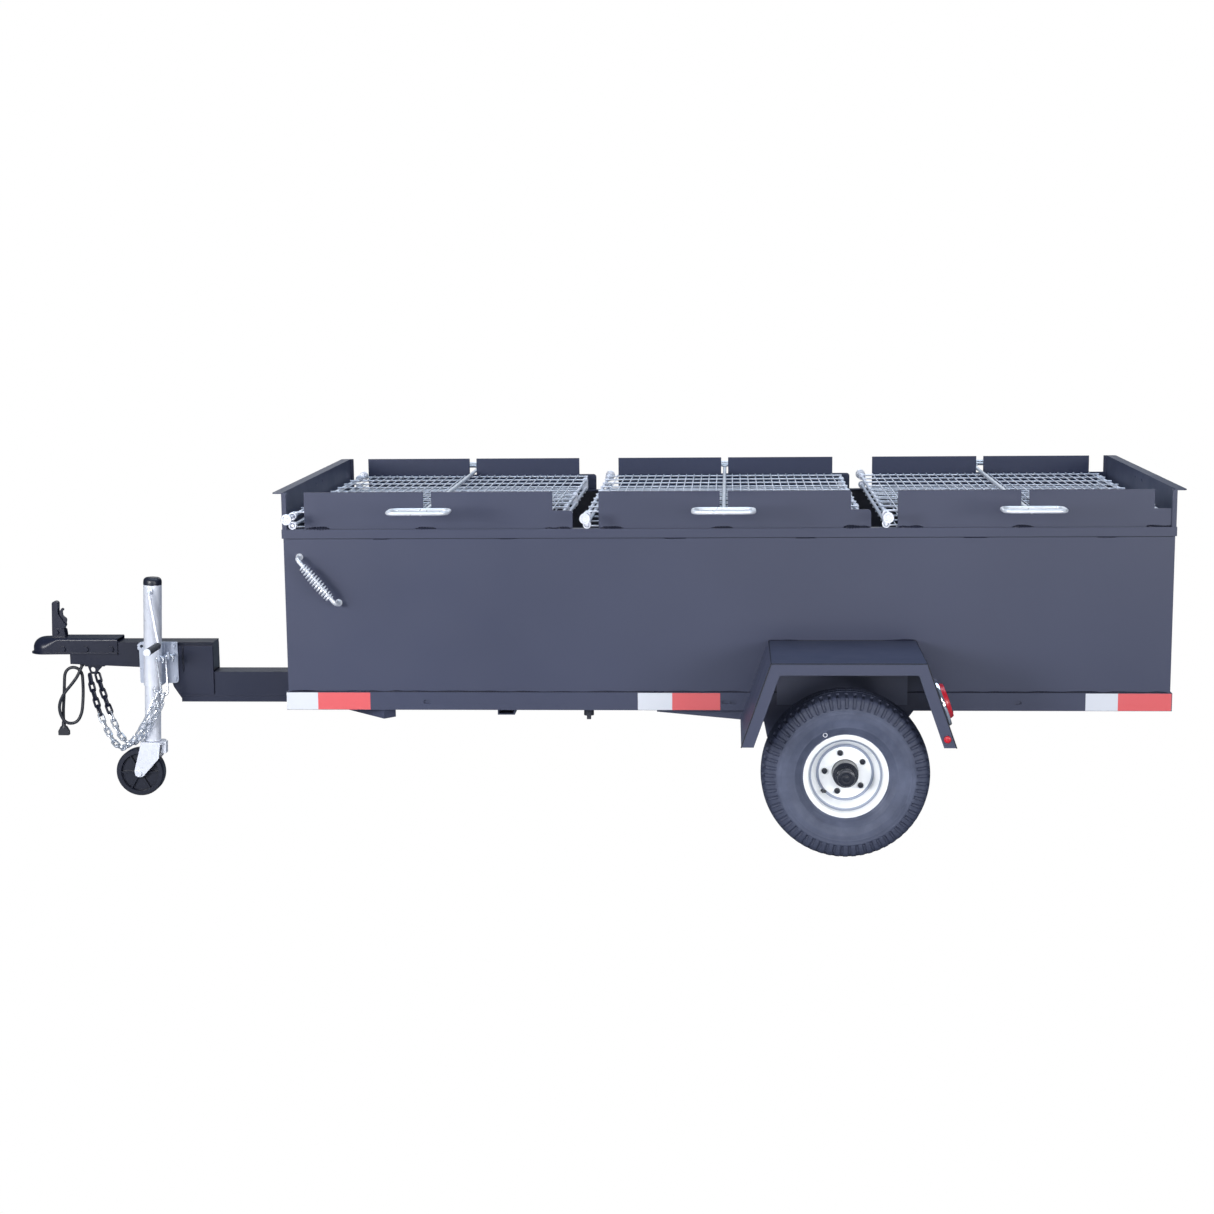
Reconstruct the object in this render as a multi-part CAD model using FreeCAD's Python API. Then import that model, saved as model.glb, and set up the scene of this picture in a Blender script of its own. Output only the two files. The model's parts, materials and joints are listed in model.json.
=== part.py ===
"""Towable charcoal cooker with three flip-over grill baskets.

Units are millimetres. +Z is up, the trailer's long axis is X with the hitch towards -X, and the
side with the grab handle and the jack faces -Y. The origin is on the ground, at the centre of the
outline of the whole trailer. Every piece of the real trailer is one node in parts/.
"""
import FreeCAD
import Part

import math
import os

V = FreeCAD.Vector
os.makedirs("parts", exist_ok=True)

# ---------------------------------------------------------------- driving dimensions
box_length = 2540.0          # firebox and frame, along X
box_depth = 1112.0           # firebox and frame, along Y
tongue_reach = 935.0         # from the front of the box to the tip of the coupler lip
rail_bottom_z = 371.0        # underside of the frame rails above the ground
rail_hole_up = 24.0
rail_hole_length = 19.0
rail_hole_height = 11.0
rail_hole_gap = 4.0            # between the two ovals of the middle pair
rail_hole_spread = 860.0       # middle of the box to the outer ovals
rail_hole_skew = 23.0
rail_pair_offset = 14.5
rim_top_z = 898.0            # top of the firebox rim

frame_angle_leg = 52.0       # frame rails are steel angle
frame_angle_wall = 5.0
rim_angle_leg = 26.0         # rim angle along the top of the walls
rim_angle_wall = 4.0
shell_wall = 3.0             # firebox walls and floor
cross_member_count = 3
cross_member_width = 50.0
cross_member_height = 30.0

guard_height = 106.0         # guard plates stand on the rim
guard_wall = 4.0
guard_setback = 7.0          # from the face of the frame to the face of the guard
guard_left = 356.0           # from a section's middle to the guard's left edge
guard_right = 359.0          # ... to the end of its full height
guard_low_end = 416.0        # ... to the end of its low part
guard_low_height = 52.0
guard_corner = 10.0
slot_width = 23.0

end_flange = 24.0            # lip turned outwards along the top of each end panel
end_wall = 3.0
end_hole_radius = 4.0
end_hole_spacing = 100.0
end_hole_drop = 24.0         # from the panel's top to the holes

section_count = 3
basket_left = 389.0          # shaft to the landing side's rods, along X
basket_right = 384.0         # shaft to the hinge side's rods
basket_side_gap = 20.0       # guard plate to the basket, along Y
frame_rod_radius = 5.0
cross_rod_width = 5.4        # rods across the basket, along X
cross_rod_count = 10
mesh_wire_width = 3.6        # wires along Y
mesh_wire_pitch = 25.4
weld_sink = 0.2              # how far a welded rod sinks into its neighbour
collar_radius = 11.5
collar_bore = 7.5
collar_length = 16.0
collar_web = 5.0
knob_radius = 15.5
knob_thickness = 8.0
knob_reach = 85.0            # from the face of the frame to the knob's middle
frame_rod_spacing = 27.0     # lower frame rods to upper frame rods
shaft_radius = 5.5
handle_near = 121.0          # from the face of the frame to the handle's inner bar
handle_depth = 88.0
handle_width = 168.0
handle_bar_radius = 5.5
handle_corner = 24.0
hinge_eye_count = 3
hinge_eye_thickness = 6.0
hinge_eye_radius = 9.5
running_clearance = 0.05     # radial, shaft in its hole
free_clearance = 0.3         # between pieces that move past each other

fire_grate_z = 486.0
fire_grate_bar = 12.0
fire_grate_bar_count = 9
fire_grate_gap = 14.0
ledge_leg = 25.0
ledge_wall = 3.0
drain_radius = 10.5
drain_drop = 45.0
drain_from_box_end = 876.0
drain_inset = 68.0

axle_behind_middle = 337.0   # axle to the middle of the box, along X
tyre_radius = 235.0
tyre_width = 150.0
tread_width = 124.0
tyre_groove_width = 8.0
tyre_groove_depth = 6.0
wheel_from_box = 182.0       # frame face to the tyre's middle plane
rim_flange_radius = 118.5
rim_bead_radius = 102.0
rim_well_radius = 84.0
rim_half_width = 58.0
rim_wall = 3.0
disc_recess = 52.0           # outer flange to the wheel disc
bolt_circle = 114.3
bolt_count = 5
bolt_radius = 6.35
bolt_head_radius = 10.0
bolt_head_height = 8.0
hub_flange_radius = 70.0
hub_flange_wall = 10.0
hub_barrel_radius = 36.0
hub_cap_radius = 24.5
hub_cap_reach = 24.0         # past the outer rim flange
spindle_radius = 15.0
axle_beam_side = 50.0

fender_half_top = 209.0
fender_half_foot = 290.0
fender_top_z = 574.0
fender_foot_z = 343.0
fender_width = 357.0
fender_wall = 3.0
fender_lip = 32.0
backing_half_width = 186.0
backing_bottom_z = 389.0
backing_wall = 4.0

bracket_front = 531.0          # axle to the front tip of its carrying plate
bracket_rear = 210.0
bracket_knee = 222.0
bracket_knee_drop = 38.0
bracket_foot = 120.0
bracket_toe = 9.0
bracket_wall = 10.0
bracket_inset = 24.0
spindle_bare = 64.0            # rim disc to the end of the square axle tube
tongue_width = 76.0
tongue_wall = 5.0
tongue_top_z = 478.5
tongue_tail = 342.0          # box front to the rear end of the upper tube
tongue_nose = 803.0          # box front to the front end of the upper tube
tongue_rear_height = 90.0
tongue_nose_height = 70.0
lower_beam_top_z = 384.0
lower_beam_bottom_z = 306.0
lower_beam_front = 448.0     # box front to the front end of the lower beam
runner_height = 18.0
runner_reach = 40.0          # how far the runner stands out at each side
runner_rear = 620.0          # under the box
side_plate_front = 454.0
side_plate_rear = 343.0
side_plate_wall = 6.0
side_plate_corner = 45.0
brace_width = 42.0
brace_height = 29.0
brace_end = 297.0

coupler_rear = 648.0
coupler_nose_centre = 884.0
coupler_nose_radius = 45.0
coupler_dome_radius = 34.0     # rounding of the nose's top
coupler_corner = 7.0           # rounding of the channel's top corners
coupler_shoulder = 42.0        # from the nose centre back to the straight channel
coupler_lift = 8.5             # gap over the tongue's top
coupler_wall = 4.0
coupler_side_height = 46.0
coupler_lip = 6.0
coupler_lip_wall = 4.0
socket_above_foot = 19.0
ball_radius = 25.4
ball_clearance = 0.6
coupler_bolt_radius = 6.0
coupler_bolt_places = [823.0, 749.0, 668.0]   # ahead of the box
coupler_bolt_drop = 21.0
chain_bracket_x = 742.0        # ahead of the box
latch_pivot_x = 849.0
latch_pivot_z = 507.0
latch_height = 98.0
latch_width = 24.0
latch_pin_radius = 5.0

jack_from_box = 520.0        # jack axis at the bracket, ahead of the box
jack_bracket_z = 430.0
jack_lean_deg = 2.3          # the jack's foot leans forwards
bracket_left = 56.0            # jack axis to the edges of its bracket
bracket_right = 67.0
bracket_up = 51.0
bracket_down = 80.0
jack_tube_radius = 28.0
jack_tube_wall = 3.0
jack_inner_radius = 24.8
jack_axis_out = 98.0         # tongue centreline to the jack axis
jack_top_z = 696.0
jack_cap_height = 24.0
jack_outer_bottom_z = 352.0
jack_inner_top_z = 520.0
jack_foot_z = 176.0
crank_z = 655.0
crank_length = 166.0
crank_offset = 31.0
crank_rod_radius = 5.0
crank_grip_radius = 13.0
crank_grip_length = 118.0
caster_radius = 76.0
caster_width = 46.0
caster_trail = 38.0
caster_bore = 6.5
fork_wall = 4.0

link_wire = 6.5
link_inner_length = 27.0
link_inner_width = 9.0
link_slack = 0.8
cable_radius = 5.0

tape_thickness = 0.5
tape_height = 50.0

# ---------------------------------------------------------------- derived places
overall_length = tongue_reach + box_length + end_flange
box_front = -overall_length / 2 + tongue_reach
box_rear = box_front + box_length
face_y = box_depth / 2
wall_y = face_y - frame_angle_wall
rail_top_z = rail_bottom_z + frame_angle_leg
floor_z = rail_bottom_z + frame_angle_wall
guard_top_z = rim_top_z + guard_height
guard_face_y = face_y - guard_setback
guard_back_y = guard_face_y - guard_wall
pitch = box_length / section_count
section_middles = [box_front + pitch * (n + 0.5) for n in range(section_count)]
basket_y = guard_back_y - basket_side_gap
lower_rod_z = rim_top_z + free_clearance + collar_radius
upper_rod_z = lower_rod_z + frame_rod_spacing
upper_mesh_top_z = upper_rod_z + frame_rod_radius - weld_sink + cross_rod_width + mesh_wire_width
shaft_z = upper_mesh_top_z + shaft_radius
slot_bottom_z = shaft_z - shaft_radius - free_clearance
axle_x = (box_front + box_rear) / 2 + axle_behind_middle
axle_z = tyre_radius
wheel_y = face_y + wheel_from_box
rim_outer_y = wheel_y + rim_half_width
disc_y = rim_outer_y - disc_recess
hub_end_y = rim_outer_y + hub_cap_reach


# ---------------------------------------------------------------- shape helpers
def box(x0, x1, y0, y1, z0, z1):
    """A block between two corners."""
    return Part.makeBox(x1 - x0, y1 - y0, z1 - z0, V(x0, y0, z0))


def rod(start, end, radius):
    """A round bar from one point to another."""
    along = end - start
    return Part.makeCylinder(radius, along.Length, start, along)


def pipe(start, end, outer, inner):
    """A round tube from one point to another."""
    return rod(start, end, outer).cut(rod(start, end, inner))


def rounded_wire(points):
    """A closed outline. Each point is (u, v) or (u, v, corner radius), placed by the caller."""
    count = len(points)
    edges = []
    trims = []
    for k in range(count):
        here = V(points[k][0], points[k][1], 0)
        before = V(points[k - 1][0], points[k - 1][1], 0) - here
        after = V(points[(k + 1) % count][0], points[(k + 1) % count][1], 0) - here
        before.normalize()
        after.normalize()
        radius = points[k][2] if len(points[k]) > 2 else 0.0
        if radius:
            half = before.getAngle(after) / 2
            reach = radius / math.tan(half)
            bisector = before + after
            bisector.normalize()
            middle = here + bisector * (radius / math.sin(half) - radius)
            trims.append((here + before * reach, middle, here + after * reach))
        else:
            trims.append((here, None, here))
    for k in range(count):
        if trims[k][1] is not None:
            edges.append(Part.Arc(trims[k][0], trims[k][1], trims[k][2]).toShape())
        start = trims[k][2]
        end = trims[(k + 1) % count][0]
        if start.distanceToPoint(end) > 1e-6:
            edges.append(Part.LineSegment(start, end).toShape())
    return Part.Wire(Part.__sortEdges__(edges))


def slab(points, plane, low, high):
    """An outline given a thickness: plane xz spans low..high in Y, yz in X, xy in Z."""
    face = Part.Face(rounded_wire(points))
    if plane == "xy":
        face.translate(V(0, 0, low))
        return face.extrude(V(0, 0, high - low))
    if plane == "xz":
        face.rotate(V(0, 0, 0), V(1, 0, 0), 90)
        face.translate(V(0, low, 0))
        return face.extrude(V(0, high - low, 0))
    face.rotate(V(0, 0, 0), V(1, 1, 1), 120)
    face.translate(V(low, 0, 0))
    return face.extrude(V(high - low, 0, 0))


def turned(points, centre, side):
    """Revolves a profile of (radius, Y distance) about an axis along Y through centre."""
    corners = [V(centre.x + r, centre.y + side * y, centre.z) for r, y in points]
    face = Part.Face(Part.makePolygon(corners + corners[:1]))
    return face.revolve(centre, V(0, 1, 0), 360)


def faceted_tube(path, radius, sides, closed, spin=0.0):
    """A tube of flat facets along a path, for bent wire such as chain links and coils."""
    count = len(path)
    rings = []
    up = None
    for k in range(count):
        if closed:
            ahead = path[(k + 1) % count] - path[k - 1]
        else:
            ahead = path[min(k + 1, count - 1)] - path[max(k - 1, 0)]
        ahead.normalize()
        if up is None:
            up = V(0, 0, 1) if abs(ahead.z) < 0.9 else V(0, 1, 0)
        side = ahead.cross(up)
        side.normalize()
        up = side.cross(ahead)
        ring = []
        for s in range(sides):
            angle = spin + 2 * math.pi * s / sides
            ring.append(path[k] + side * (radius * math.cos(angle)) + up * (radius * math.sin(angle)))
        rings.append(ring)
    faces = []
    for k in range(count if closed else count - 1):
        near = rings[k]
        far = rings[(k + 1) % count]
        for s in range(sides):
            t = (s + 1) % sides
            faces.append(Part.Face(Part.makePolygon([near[s], near[t], far[t], near[s]])))
            faces.append(Part.Face(Part.makePolygon([near[s], far[t], far[s], near[s]])))
    if not closed:
        for ring in (rings[0], rings[-1]):
            faces.append(Part.Face(Part.makePolygon(ring + ring[:1])))
    solid = Part.Solid(Part.Shell(faces))
    if solid.Volume < 0:
        solid.reverse()
    return solid


def joined(shapes):
    """Fuses touching shapes into one piece."""
    result = shapes[0]
    if len(shapes) > 1:
        result = shapes[0].multiFuse(shapes[1:])
    return result.removeSplitter()


def mirrored_y(shape):
    """The same shape on the other side of the trailer's centreline."""
    return shape.mirror(V(0, 0, 0), V(0, 1, 0))


def save(name, shapes):
    """Writes one node from one or more separate solids."""
    solids = []
    for shape in shapes:
        solids.extend(shape.Solids)
    node = solids[0] if len(solids) == 1 else Part.Compound(solids)
    node.exportStep("parts/" + name + ".step")
    print(name, len(solids), "solids", round(sum(s.Volume for s in solids) / 1000.0, 1), "cm3")


# ---------------------------------------------------------------- firebox and frame
def angle_ring(half_x0, half_x1, half_y, leg, wall, low_z, high_z, shelf_z):
    """Four bars of angle round a rectangle, a vertical leg outside and a flat leg at shelf_z: the
    side bars run full length and the end bars butt between them."""
    outer = box(half_x0, half_x1, -half_y, half_y, low_z, high_z)
    core = box(half_x0 + wall, half_x1 - wall, -half_y + wall, half_y - wall, low_z, high_z)
    upright = outer.cut(core)
    shelf = box(half_x0, half_x1, -half_y, half_y, shelf_z, shelf_z + wall)
    window = box(half_x0 + leg, half_x1 - leg, -half_y + leg, half_y - leg, shelf_z, shelf_z + wall)
    ring = joined([upright, shelf.cut(window)])
    reach = half_y - leg
    bars = [box(half_x0, half_x1, -half_y, -reach, low_z, high_z),
            box(half_x0, half_x1, reach, half_y, low_z, high_z),
            box(half_x0, half_x0 + leg, -reach, reach, low_z, high_z),
            box(half_x1 - leg, half_x1, -reach, reach, low_z, high_z)]
    return [ring.common(bar) for bar in bars]


def frame_rails():
    """Frame of steel angle under the firebox, its flat leg inwards at the bottom."""
    bars = angle_ring(box_front, box_rear, face_y, frame_angle_leg, frame_angle_wall,
                      rail_bottom_z, rail_top_z, rail_bottom_z)
    for x in rail_hole_places():
        z = rail_bottom_z + rail_hole_up
        half = rail_hole_length / 2
        r = rail_hole_height / 2
        hole = slab([(x - half, z - r, r * 0.99), (x + half, z - r, r * 0.99),
                     (x + half, z + r, r * 0.99), (x - half, z + r, r * 0.99)],
                    "xz", -face_y - 1, face_y + 1)
        bars = [bar.cut(hole) for bar in bars[:2]] + bars[2:]
    return bars


def rail_hole_places():
    """Places of the oval holes through both side rails."""
    middle = box_front + box_length / 2
    pair = rail_hole_length / 2 + rail_hole_gap / 2
    return [middle - rail_hole_spread, middle + rail_pair_offset - pair, middle + rail_pair_offset + pair,
            middle + rail_hole_spread - rail_hole_skew]


def cross_members():
    """Flat tubes across the frame, between the rails' flat legs and under the floor."""
    pieces = []
    spacing = box_length / (cross_member_count + 1)
    for n in range(cross_member_count):
        middle = box_front + spacing * (n + 1)
        half = cross_member_width / 2
        reach = face_y - frame_angle_leg
        top = floor_z
        outer = box(middle - half, middle + half, -reach, reach, top - cross_member_height, top)
        inner = box(middle - half + 3, middle + half - 3, -reach, reach,
                    top - cross_member_height + 3, top - 3)
        pieces.append(outer.cut(inner))
    return pieces


def firebox_shell():
    """Open steel box of welded sheets: front, back, two ends and a floor, and two angle ledges that
    carry the fire grates."""
    x0 = box_front + frame_angle_wall
    x1 = box_rear - frame_angle_wall
    top = rim_top_z - rim_angle_wall
    in_x0 = x0 + shell_wall
    in_x1 = x1 - shell_wall
    in_y = wall_y - shell_wall
    floor = box(in_x0, in_x1, -in_y, in_y, floor_z, floor_z + shell_wall)
    hole = rod(V(drain_x(), drain_y(), floor_z - 1), V(drain_x(), drain_y(), floor_z + shell_wall + 1),
               drain_radius)
    sheets = [box(x0, x1, -wall_y, -in_y, floor_z, top), box(x0, x1, in_y, wall_y, floor_z, top),
              box(x0, in_x0, -in_y, in_y, floor_z, top), box(in_x1, x1, -in_y, in_y, floor_z, top),
              floor.cut(hole)]
    for side in (-1, 1):
        shelf = sorted((side * in_y, side * (in_y - ledge_leg)))
        leg = sorted((side * in_y, side * (in_y - ledge_wall)))
        flat = box(in_x0, in_x1, shelf[0], shelf[1], fire_grate_z - ledge_wall, fire_grate_z)
        upright = box(in_x0, in_x1, leg[0], leg[1], fire_grate_z - ledge_leg, fire_grate_z)
        sheets.append(joined([flat, upright]))
    return sheets


def drain_x():
    """Place of the drain along the box."""
    return box_front + drain_from_box_end


def drain_y():
    """Place of the drain across the box."""
    return -face_y + drain_inset


def drain_plug():
    """Threaded nipple through the floor, with a square-headed plug below it."""
    low = floor_z - drain_drop
    nipple = rod(V(drain_x(), drain_y(), low + 12), V(drain_x(), drain_y(), floor_z + shell_wall + 4),
                 drain_radius)
    cap = rod(V(drain_x(), drain_y(), low + 12), V(drain_x(), drain_y(), low + 30), drain_radius + 4)
    head = box(drain_x() - 6, drain_x() + 6, drain_y() - 6, drain_y() + 6, low, low + 12)
    return joined([nipple, cap, head])


def top_rim():
    """Rim of small angle over the top edge of the walls."""
    half_y = wall_y + rim_angle_wall
    grow = rim_angle_wall - frame_angle_wall
    return angle_ring(box_front - grow, box_rear + grow, half_y, rim_angle_leg, rim_angle_wall,
                      rim_top_z - rim_angle_leg, rim_top_z, rim_top_z - rim_angle_wall)


def guard_outlines(middle):
    """Outlines of one guard's flats, butted edge to edge: a tall plate on each side of the shaft's
    slot, the strip under the slot, and the low end where the side rods land."""
    left = middle - guard_left
    right = middle + guard_right
    end = middle + guard_low_end
    low_top = rim_top_z + guard_low_height
    half = slot_width / 2
    near, far = middle - half, middle + half
    return [[(left, rim_top_z), (near, rim_top_z), (near, guard_top_z), (left, guard_top_z)],
            [(near, rim_top_z), (far, rim_top_z), (far, slot_bottom_z), (near, slot_bottom_z)],
            [(far, rim_top_z), (right, rim_top_z), (right, guard_top_z), (far, guard_top_z)],
            [(right, rim_top_z), (end, rim_top_z), (end, low_top, guard_corner), (right, low_top)]]


def guards(side):
    """Three guards along one side, each with the slot that carries a basket shaft."""
    plates = []
    for middle in section_middles:
        low = min(side * guard_face_y, side * guard_back_y)
        for outline in guard_outlines(middle):
            plates.append(slab(outline, "xz", low, low + guard_wall))
    return plates


def end_panel(side):
    """Plate at one end of the rim, with a lip turned outwards and two holes."""
    rim_end = (box_front + frame_angle_wall - rim_angle_wall if side < 0
               else box_rear - frame_angle_wall + rim_angle_wall)
    outer = rim_end - side * 2.0
    inner = outer - side * end_wall
    tip = box_front - end_flange if side < 0 else box_rear + end_flange
    half_y = guard_face_y + guard_setback - 2.0
    panel = box(min(outer, inner), max(outer, inner), -half_y, half_y, rim_top_z, guard_top_z)
    lip = slab([(min(tip, inner), -half_y, 12.0 if side < 0 else 0.0),
                (max(tip, inner), -half_y, 12.0 if side > 0 else 0.0),
                (max(tip, inner), half_y, 12.0 if side > 0 else 0.0),
                (min(tip, inner), half_y, 12.0 if side < 0 else 0.0)],
               "xy", guard_top_z - end_wall, guard_top_z)
    stiffener = []
    for end in (-1, 1):
        y0 = min(end * half_y, end * (half_y - end_wall))
        x0 = min(inner, inner - side * 10.0)
        stiffener.append(box(x0, x0 + 10.0, y0, y0 + end_wall, rim_top_z, guard_top_z))
    plate = joined([panel, lip] + stiffener)
    for end in (-1, 1):
        y = end * end_hole_spacing / 2
        z = guard_top_z - end_hole_drop
        plate = plate.cut(rod(V(outer + side, y, z), V(inner - side, y, z), end_hole_radius))
    return plate


def fire_grates():
    """Three drop-in bar grates that hold the charcoal."""
    pieces = []
    reach = wall_y - shell_wall - 6.0
    half = pitch / 2 - fire_grate_gap
    for middle in section_middles:
        bars = []
        for n in range(fire_grate_bar_count):
            x = middle - half + (2 * half - fire_grate_bar) * n / (fire_grate_bar_count - 1)
            bars.append(box(x, x + fire_grate_bar, -reach, reach,
                            fire_grate_z, fire_grate_z + fire_grate_bar))
        for y in (-reach * 0.6, reach * 0.6):
            bars.append(box(middle - half, middle + half, y - fire_grate_bar / 2,
                            y + fire_grate_bar / 2, fire_grate_z + fire_grate_bar,
                            fire_grate_z + fire_grate_bar * 1.5))
        pieces.append(joined(bars))
    return pieces


# ---------------------------------------------------------------- grab handle with a coil grip
handle_top = (50.0, 818.0)      # from the box front and above the ground
handle_foot = (160.0, 685.0)
handle_standoff = 42.0
handle_rod_radius = 6.0
coil_radius = 17.0
coil_end_radius = 12.0
coil_wire = 2.2
coil_sag = 1.5                  # the coil hangs on the rod
coil_turns = 13
coil_facets = 8


def grab_points():
    """The bent rod's corners: out of the wall, along, and back in."""
    top = V(box_front + handle_top[0], -wall_y, handle_top[1])
    foot = V(box_front + handle_foot[0], -wall_y, handle_foot[1])
    out = V(0, -handle_standoff, 0)
    return top, top + out, foot + out, foot


def grab_handle():
    """Bent rod welded to the front wall."""
    a, b, c, d = grab_points()
    along = (c - b)
    along.normalize()
    bend = 12.0
    path = [a, b - V(0, -bend, 0), b + along * (bend * 0.3) - V(0, -bend * 0.3, 0), b + along * bend,
            c - along * bend, c - along * (bend * 0.3) - V(0, -bend * 0.3, 0), c - V(0, -bend, 0), d]
    return faceted_tube(path, handle_rod_radius, 10, False)


def handle_coil():
    """Open coil spring over the handle, which stays cool enough to hold."""
    a, b, c, d = grab_points()
    axis = c - b
    length = axis.Length
    axis.normalize()
    side = axis.cross(V(0, 1, 0))
    side.normalize()
    up = axis.cross(side)
    sag = V(0, 0, -1) - axis * (-axis.z)
    sag.normalize()
    start = b + axis * (length * 0.16) + sag * coil_sag
    run = length * 0.72
    steps = coil_turns * coil_facets
    path = []
    for k in range(steps + 1):
        angle = 2 * math.pi * k / coil_facets
        swell = abs(math.sin(math.pi * k / steps))
        reach = coil_end_radius + (coil_radius - coil_end_radius) * swell ** 0.6 - coil_wire
        path.append(start + axis * (run * k / steps) + side * (reach * math.cos(angle))
                    + up * (reach * math.sin(angle)))
    return faceted_tube(path, coil_wire, 4, False)


# ---------------------------------------------------------------- grill baskets
def cross_rods(middle, low_z):
    """Square rods across the basket, evenly spaced along Y."""
    rods = []
    left = middle - basket_left - frame_rod_radius
    right = middle + basket_right + frame_rod_radius
    step = (2 * basket_y - cross_rod_width) / (cross_rod_count - 1)
    for n in range(cross_rod_count):
        y = -basket_y + step * n
        rods.append(box(left, right, y, y + cross_rod_width, low_z, low_z + cross_rod_width))
    return rods


def mesh_wires(middle, low_z):
    """Thin wires along the basket at one-inch spacing."""
    wires = []
    reach = basket_right - frame_rod_radius
    count = int(reach / mesh_wire_pitch)
    for n in range(-count, count + 1):
        x = middle + n * mesh_wire_pitch - mesh_wire_width / 2
        wires.append(box(x, x + mesh_wire_width, -basket_y, basket_y, low_z, low_z + mesh_wire_width))
    return wires


def collar(x, z, side):
    """Cup-shaped collar on a side rod: it lands on the rim, or on the guard's low part."""
    outer_y = side * (face_y + 4.0)
    inner_y = side * (face_y + 4.0 - collar_length)
    body = rod(V(x, outer_y, z), V(x, inner_y, z), collar_radius)
    recess = rod(V(x, outer_y, z), V(x, inner_y + side * collar_web, z), collar_bore)
    return body.cut(recess)


def lower_grate(middle):
    """Lower half of a basket: two side rods, collars at one side, hinge eyes at the other."""
    left = middle - basket_left
    right = middle + basket_right
    z = lower_rod_z
    landing = rod(V(left, -face_y - 2.0, z), V(left, face_y + 2.0, z), frame_rod_radius)
    landing = joined([landing, collar(left, z, -1), collar(left, z, 1)])
    hinge_side = rod(V(right, -basket_y, z), V(right, basket_y, z), frame_rod_radius)
    rods_low = z - frame_rod_radius + weld_sink - cross_rod_width
    pieces = [landing] + cross_rods(middle, rods_low) + mesh_wires(middle, rods_low - mesh_wire_width)
    step = (2 * basket_y - cross_rod_width) / (cross_rod_count - 1)
    eyes = []
    for n in range(hinge_eye_count):
        bay = 1 + n * (cross_rod_count - 3) // (hinge_eye_count - 1)
        y = -basket_y + step * (bay + 0.5)
        eyes.append(hinge_eye(right, y))
    pieces.append(joined([hinge_side] + eyes))
    return pieces


def hinge_eye(x, y):
    """Oval plate welded to the lower side rod, with a running hole for the upper one."""
    half = hinge_eye_thickness / 2
    r = hinge_eye_radius
    plate = slab([(x - r, lower_rod_z - r, r - 0.01), (x + r, lower_rod_z - r, r - 0.01),
                  (x + r, upper_rod_z + r, r - 0.01), (x - r, upper_rod_z + r, r - 0.01)],
                 "xz", y - half, y + half)
    hole = rod(V(x, y - half - 1, upper_rod_z), V(x, y + half + 1, upper_rod_z),
               frame_rod_radius + running_clearance)
    return plate.cut(hole)


def upper_grate(middle):
    """Upper half of a basket: its landing rod reaches past the guards and ends in two knobs."""
    left = middle - basket_left
    right = middle + basket_right
    z = upper_rod_z
    reach = face_y + knob_reach
    knob_rod = rod(V(left, -reach, z), V(left, reach, z), frame_rod_radius)
    extras = [collar(left, z, -1), collar(left, z, 1)]
    for side in (-1, 1):
        extras.append(rod(V(left, side * (reach - knob_thickness / 2), z),
                          V(left, side * (reach + knob_thickness / 2), z), knob_radius))
    pieces = [joined([knob_rod] + extras)]
    pieces.append(rod(V(right, -basket_y, z), V(right, basket_y, z), frame_rod_radius))
    rods_low = z + frame_rod_radius - weld_sink
    pieces += cross_rods(middle, rods_low)
    pieces += mesh_wires(middle, rods_low + cross_rod_width)
    return pieces


def handle_loop(middle, side):
    """Rounded rectangular handle of bent bar, flat, on top of the shaft's end."""
    near = side * (face_y + handle_near)
    far = side * (face_y + handle_near + handle_depth)
    half = handle_width / 2
    corners = [(middle - half, near), (middle + half, near), (middle + half, far), (middle - half, far)]
    path = []
    z = shaft_z + shaft_radius + handle_bar_radius - weld_sink
    steps = 3
    for k in range(4):
        here = V(corners[k][0], corners[k][1], z)
        before = V(corners[k - 1][0], corners[k - 1][1], z) - here
        after = V(corners[(k + 1) % 4][0], corners[(k + 1) % 4][1], z) - here
        before.normalize()
        after.normalize()
        centre = here + (before + after) * handle_corner
        for n in range(steps + 1):
            turn = math.pi / 2 * n / steps
            path.append(centre - after * (handle_corner * math.cos(turn))
                        - before * (handle_corner * math.sin(turn)))
    return faceted_tube(path, handle_bar_radius, 6, True)


def spit_shaft(middle):
    """Shaft through the guard slots, welded on top of the upper grate, a handle at each end."""
    reach = face_y + handle_near + handle_bar_radius
    bar = rod(V(middle, -reach, shaft_z), V(middle, reach, shaft_z), shaft_radius)
    return [bar, handle_loop(middle, -1), handle_loop(middle, 1)]


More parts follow.
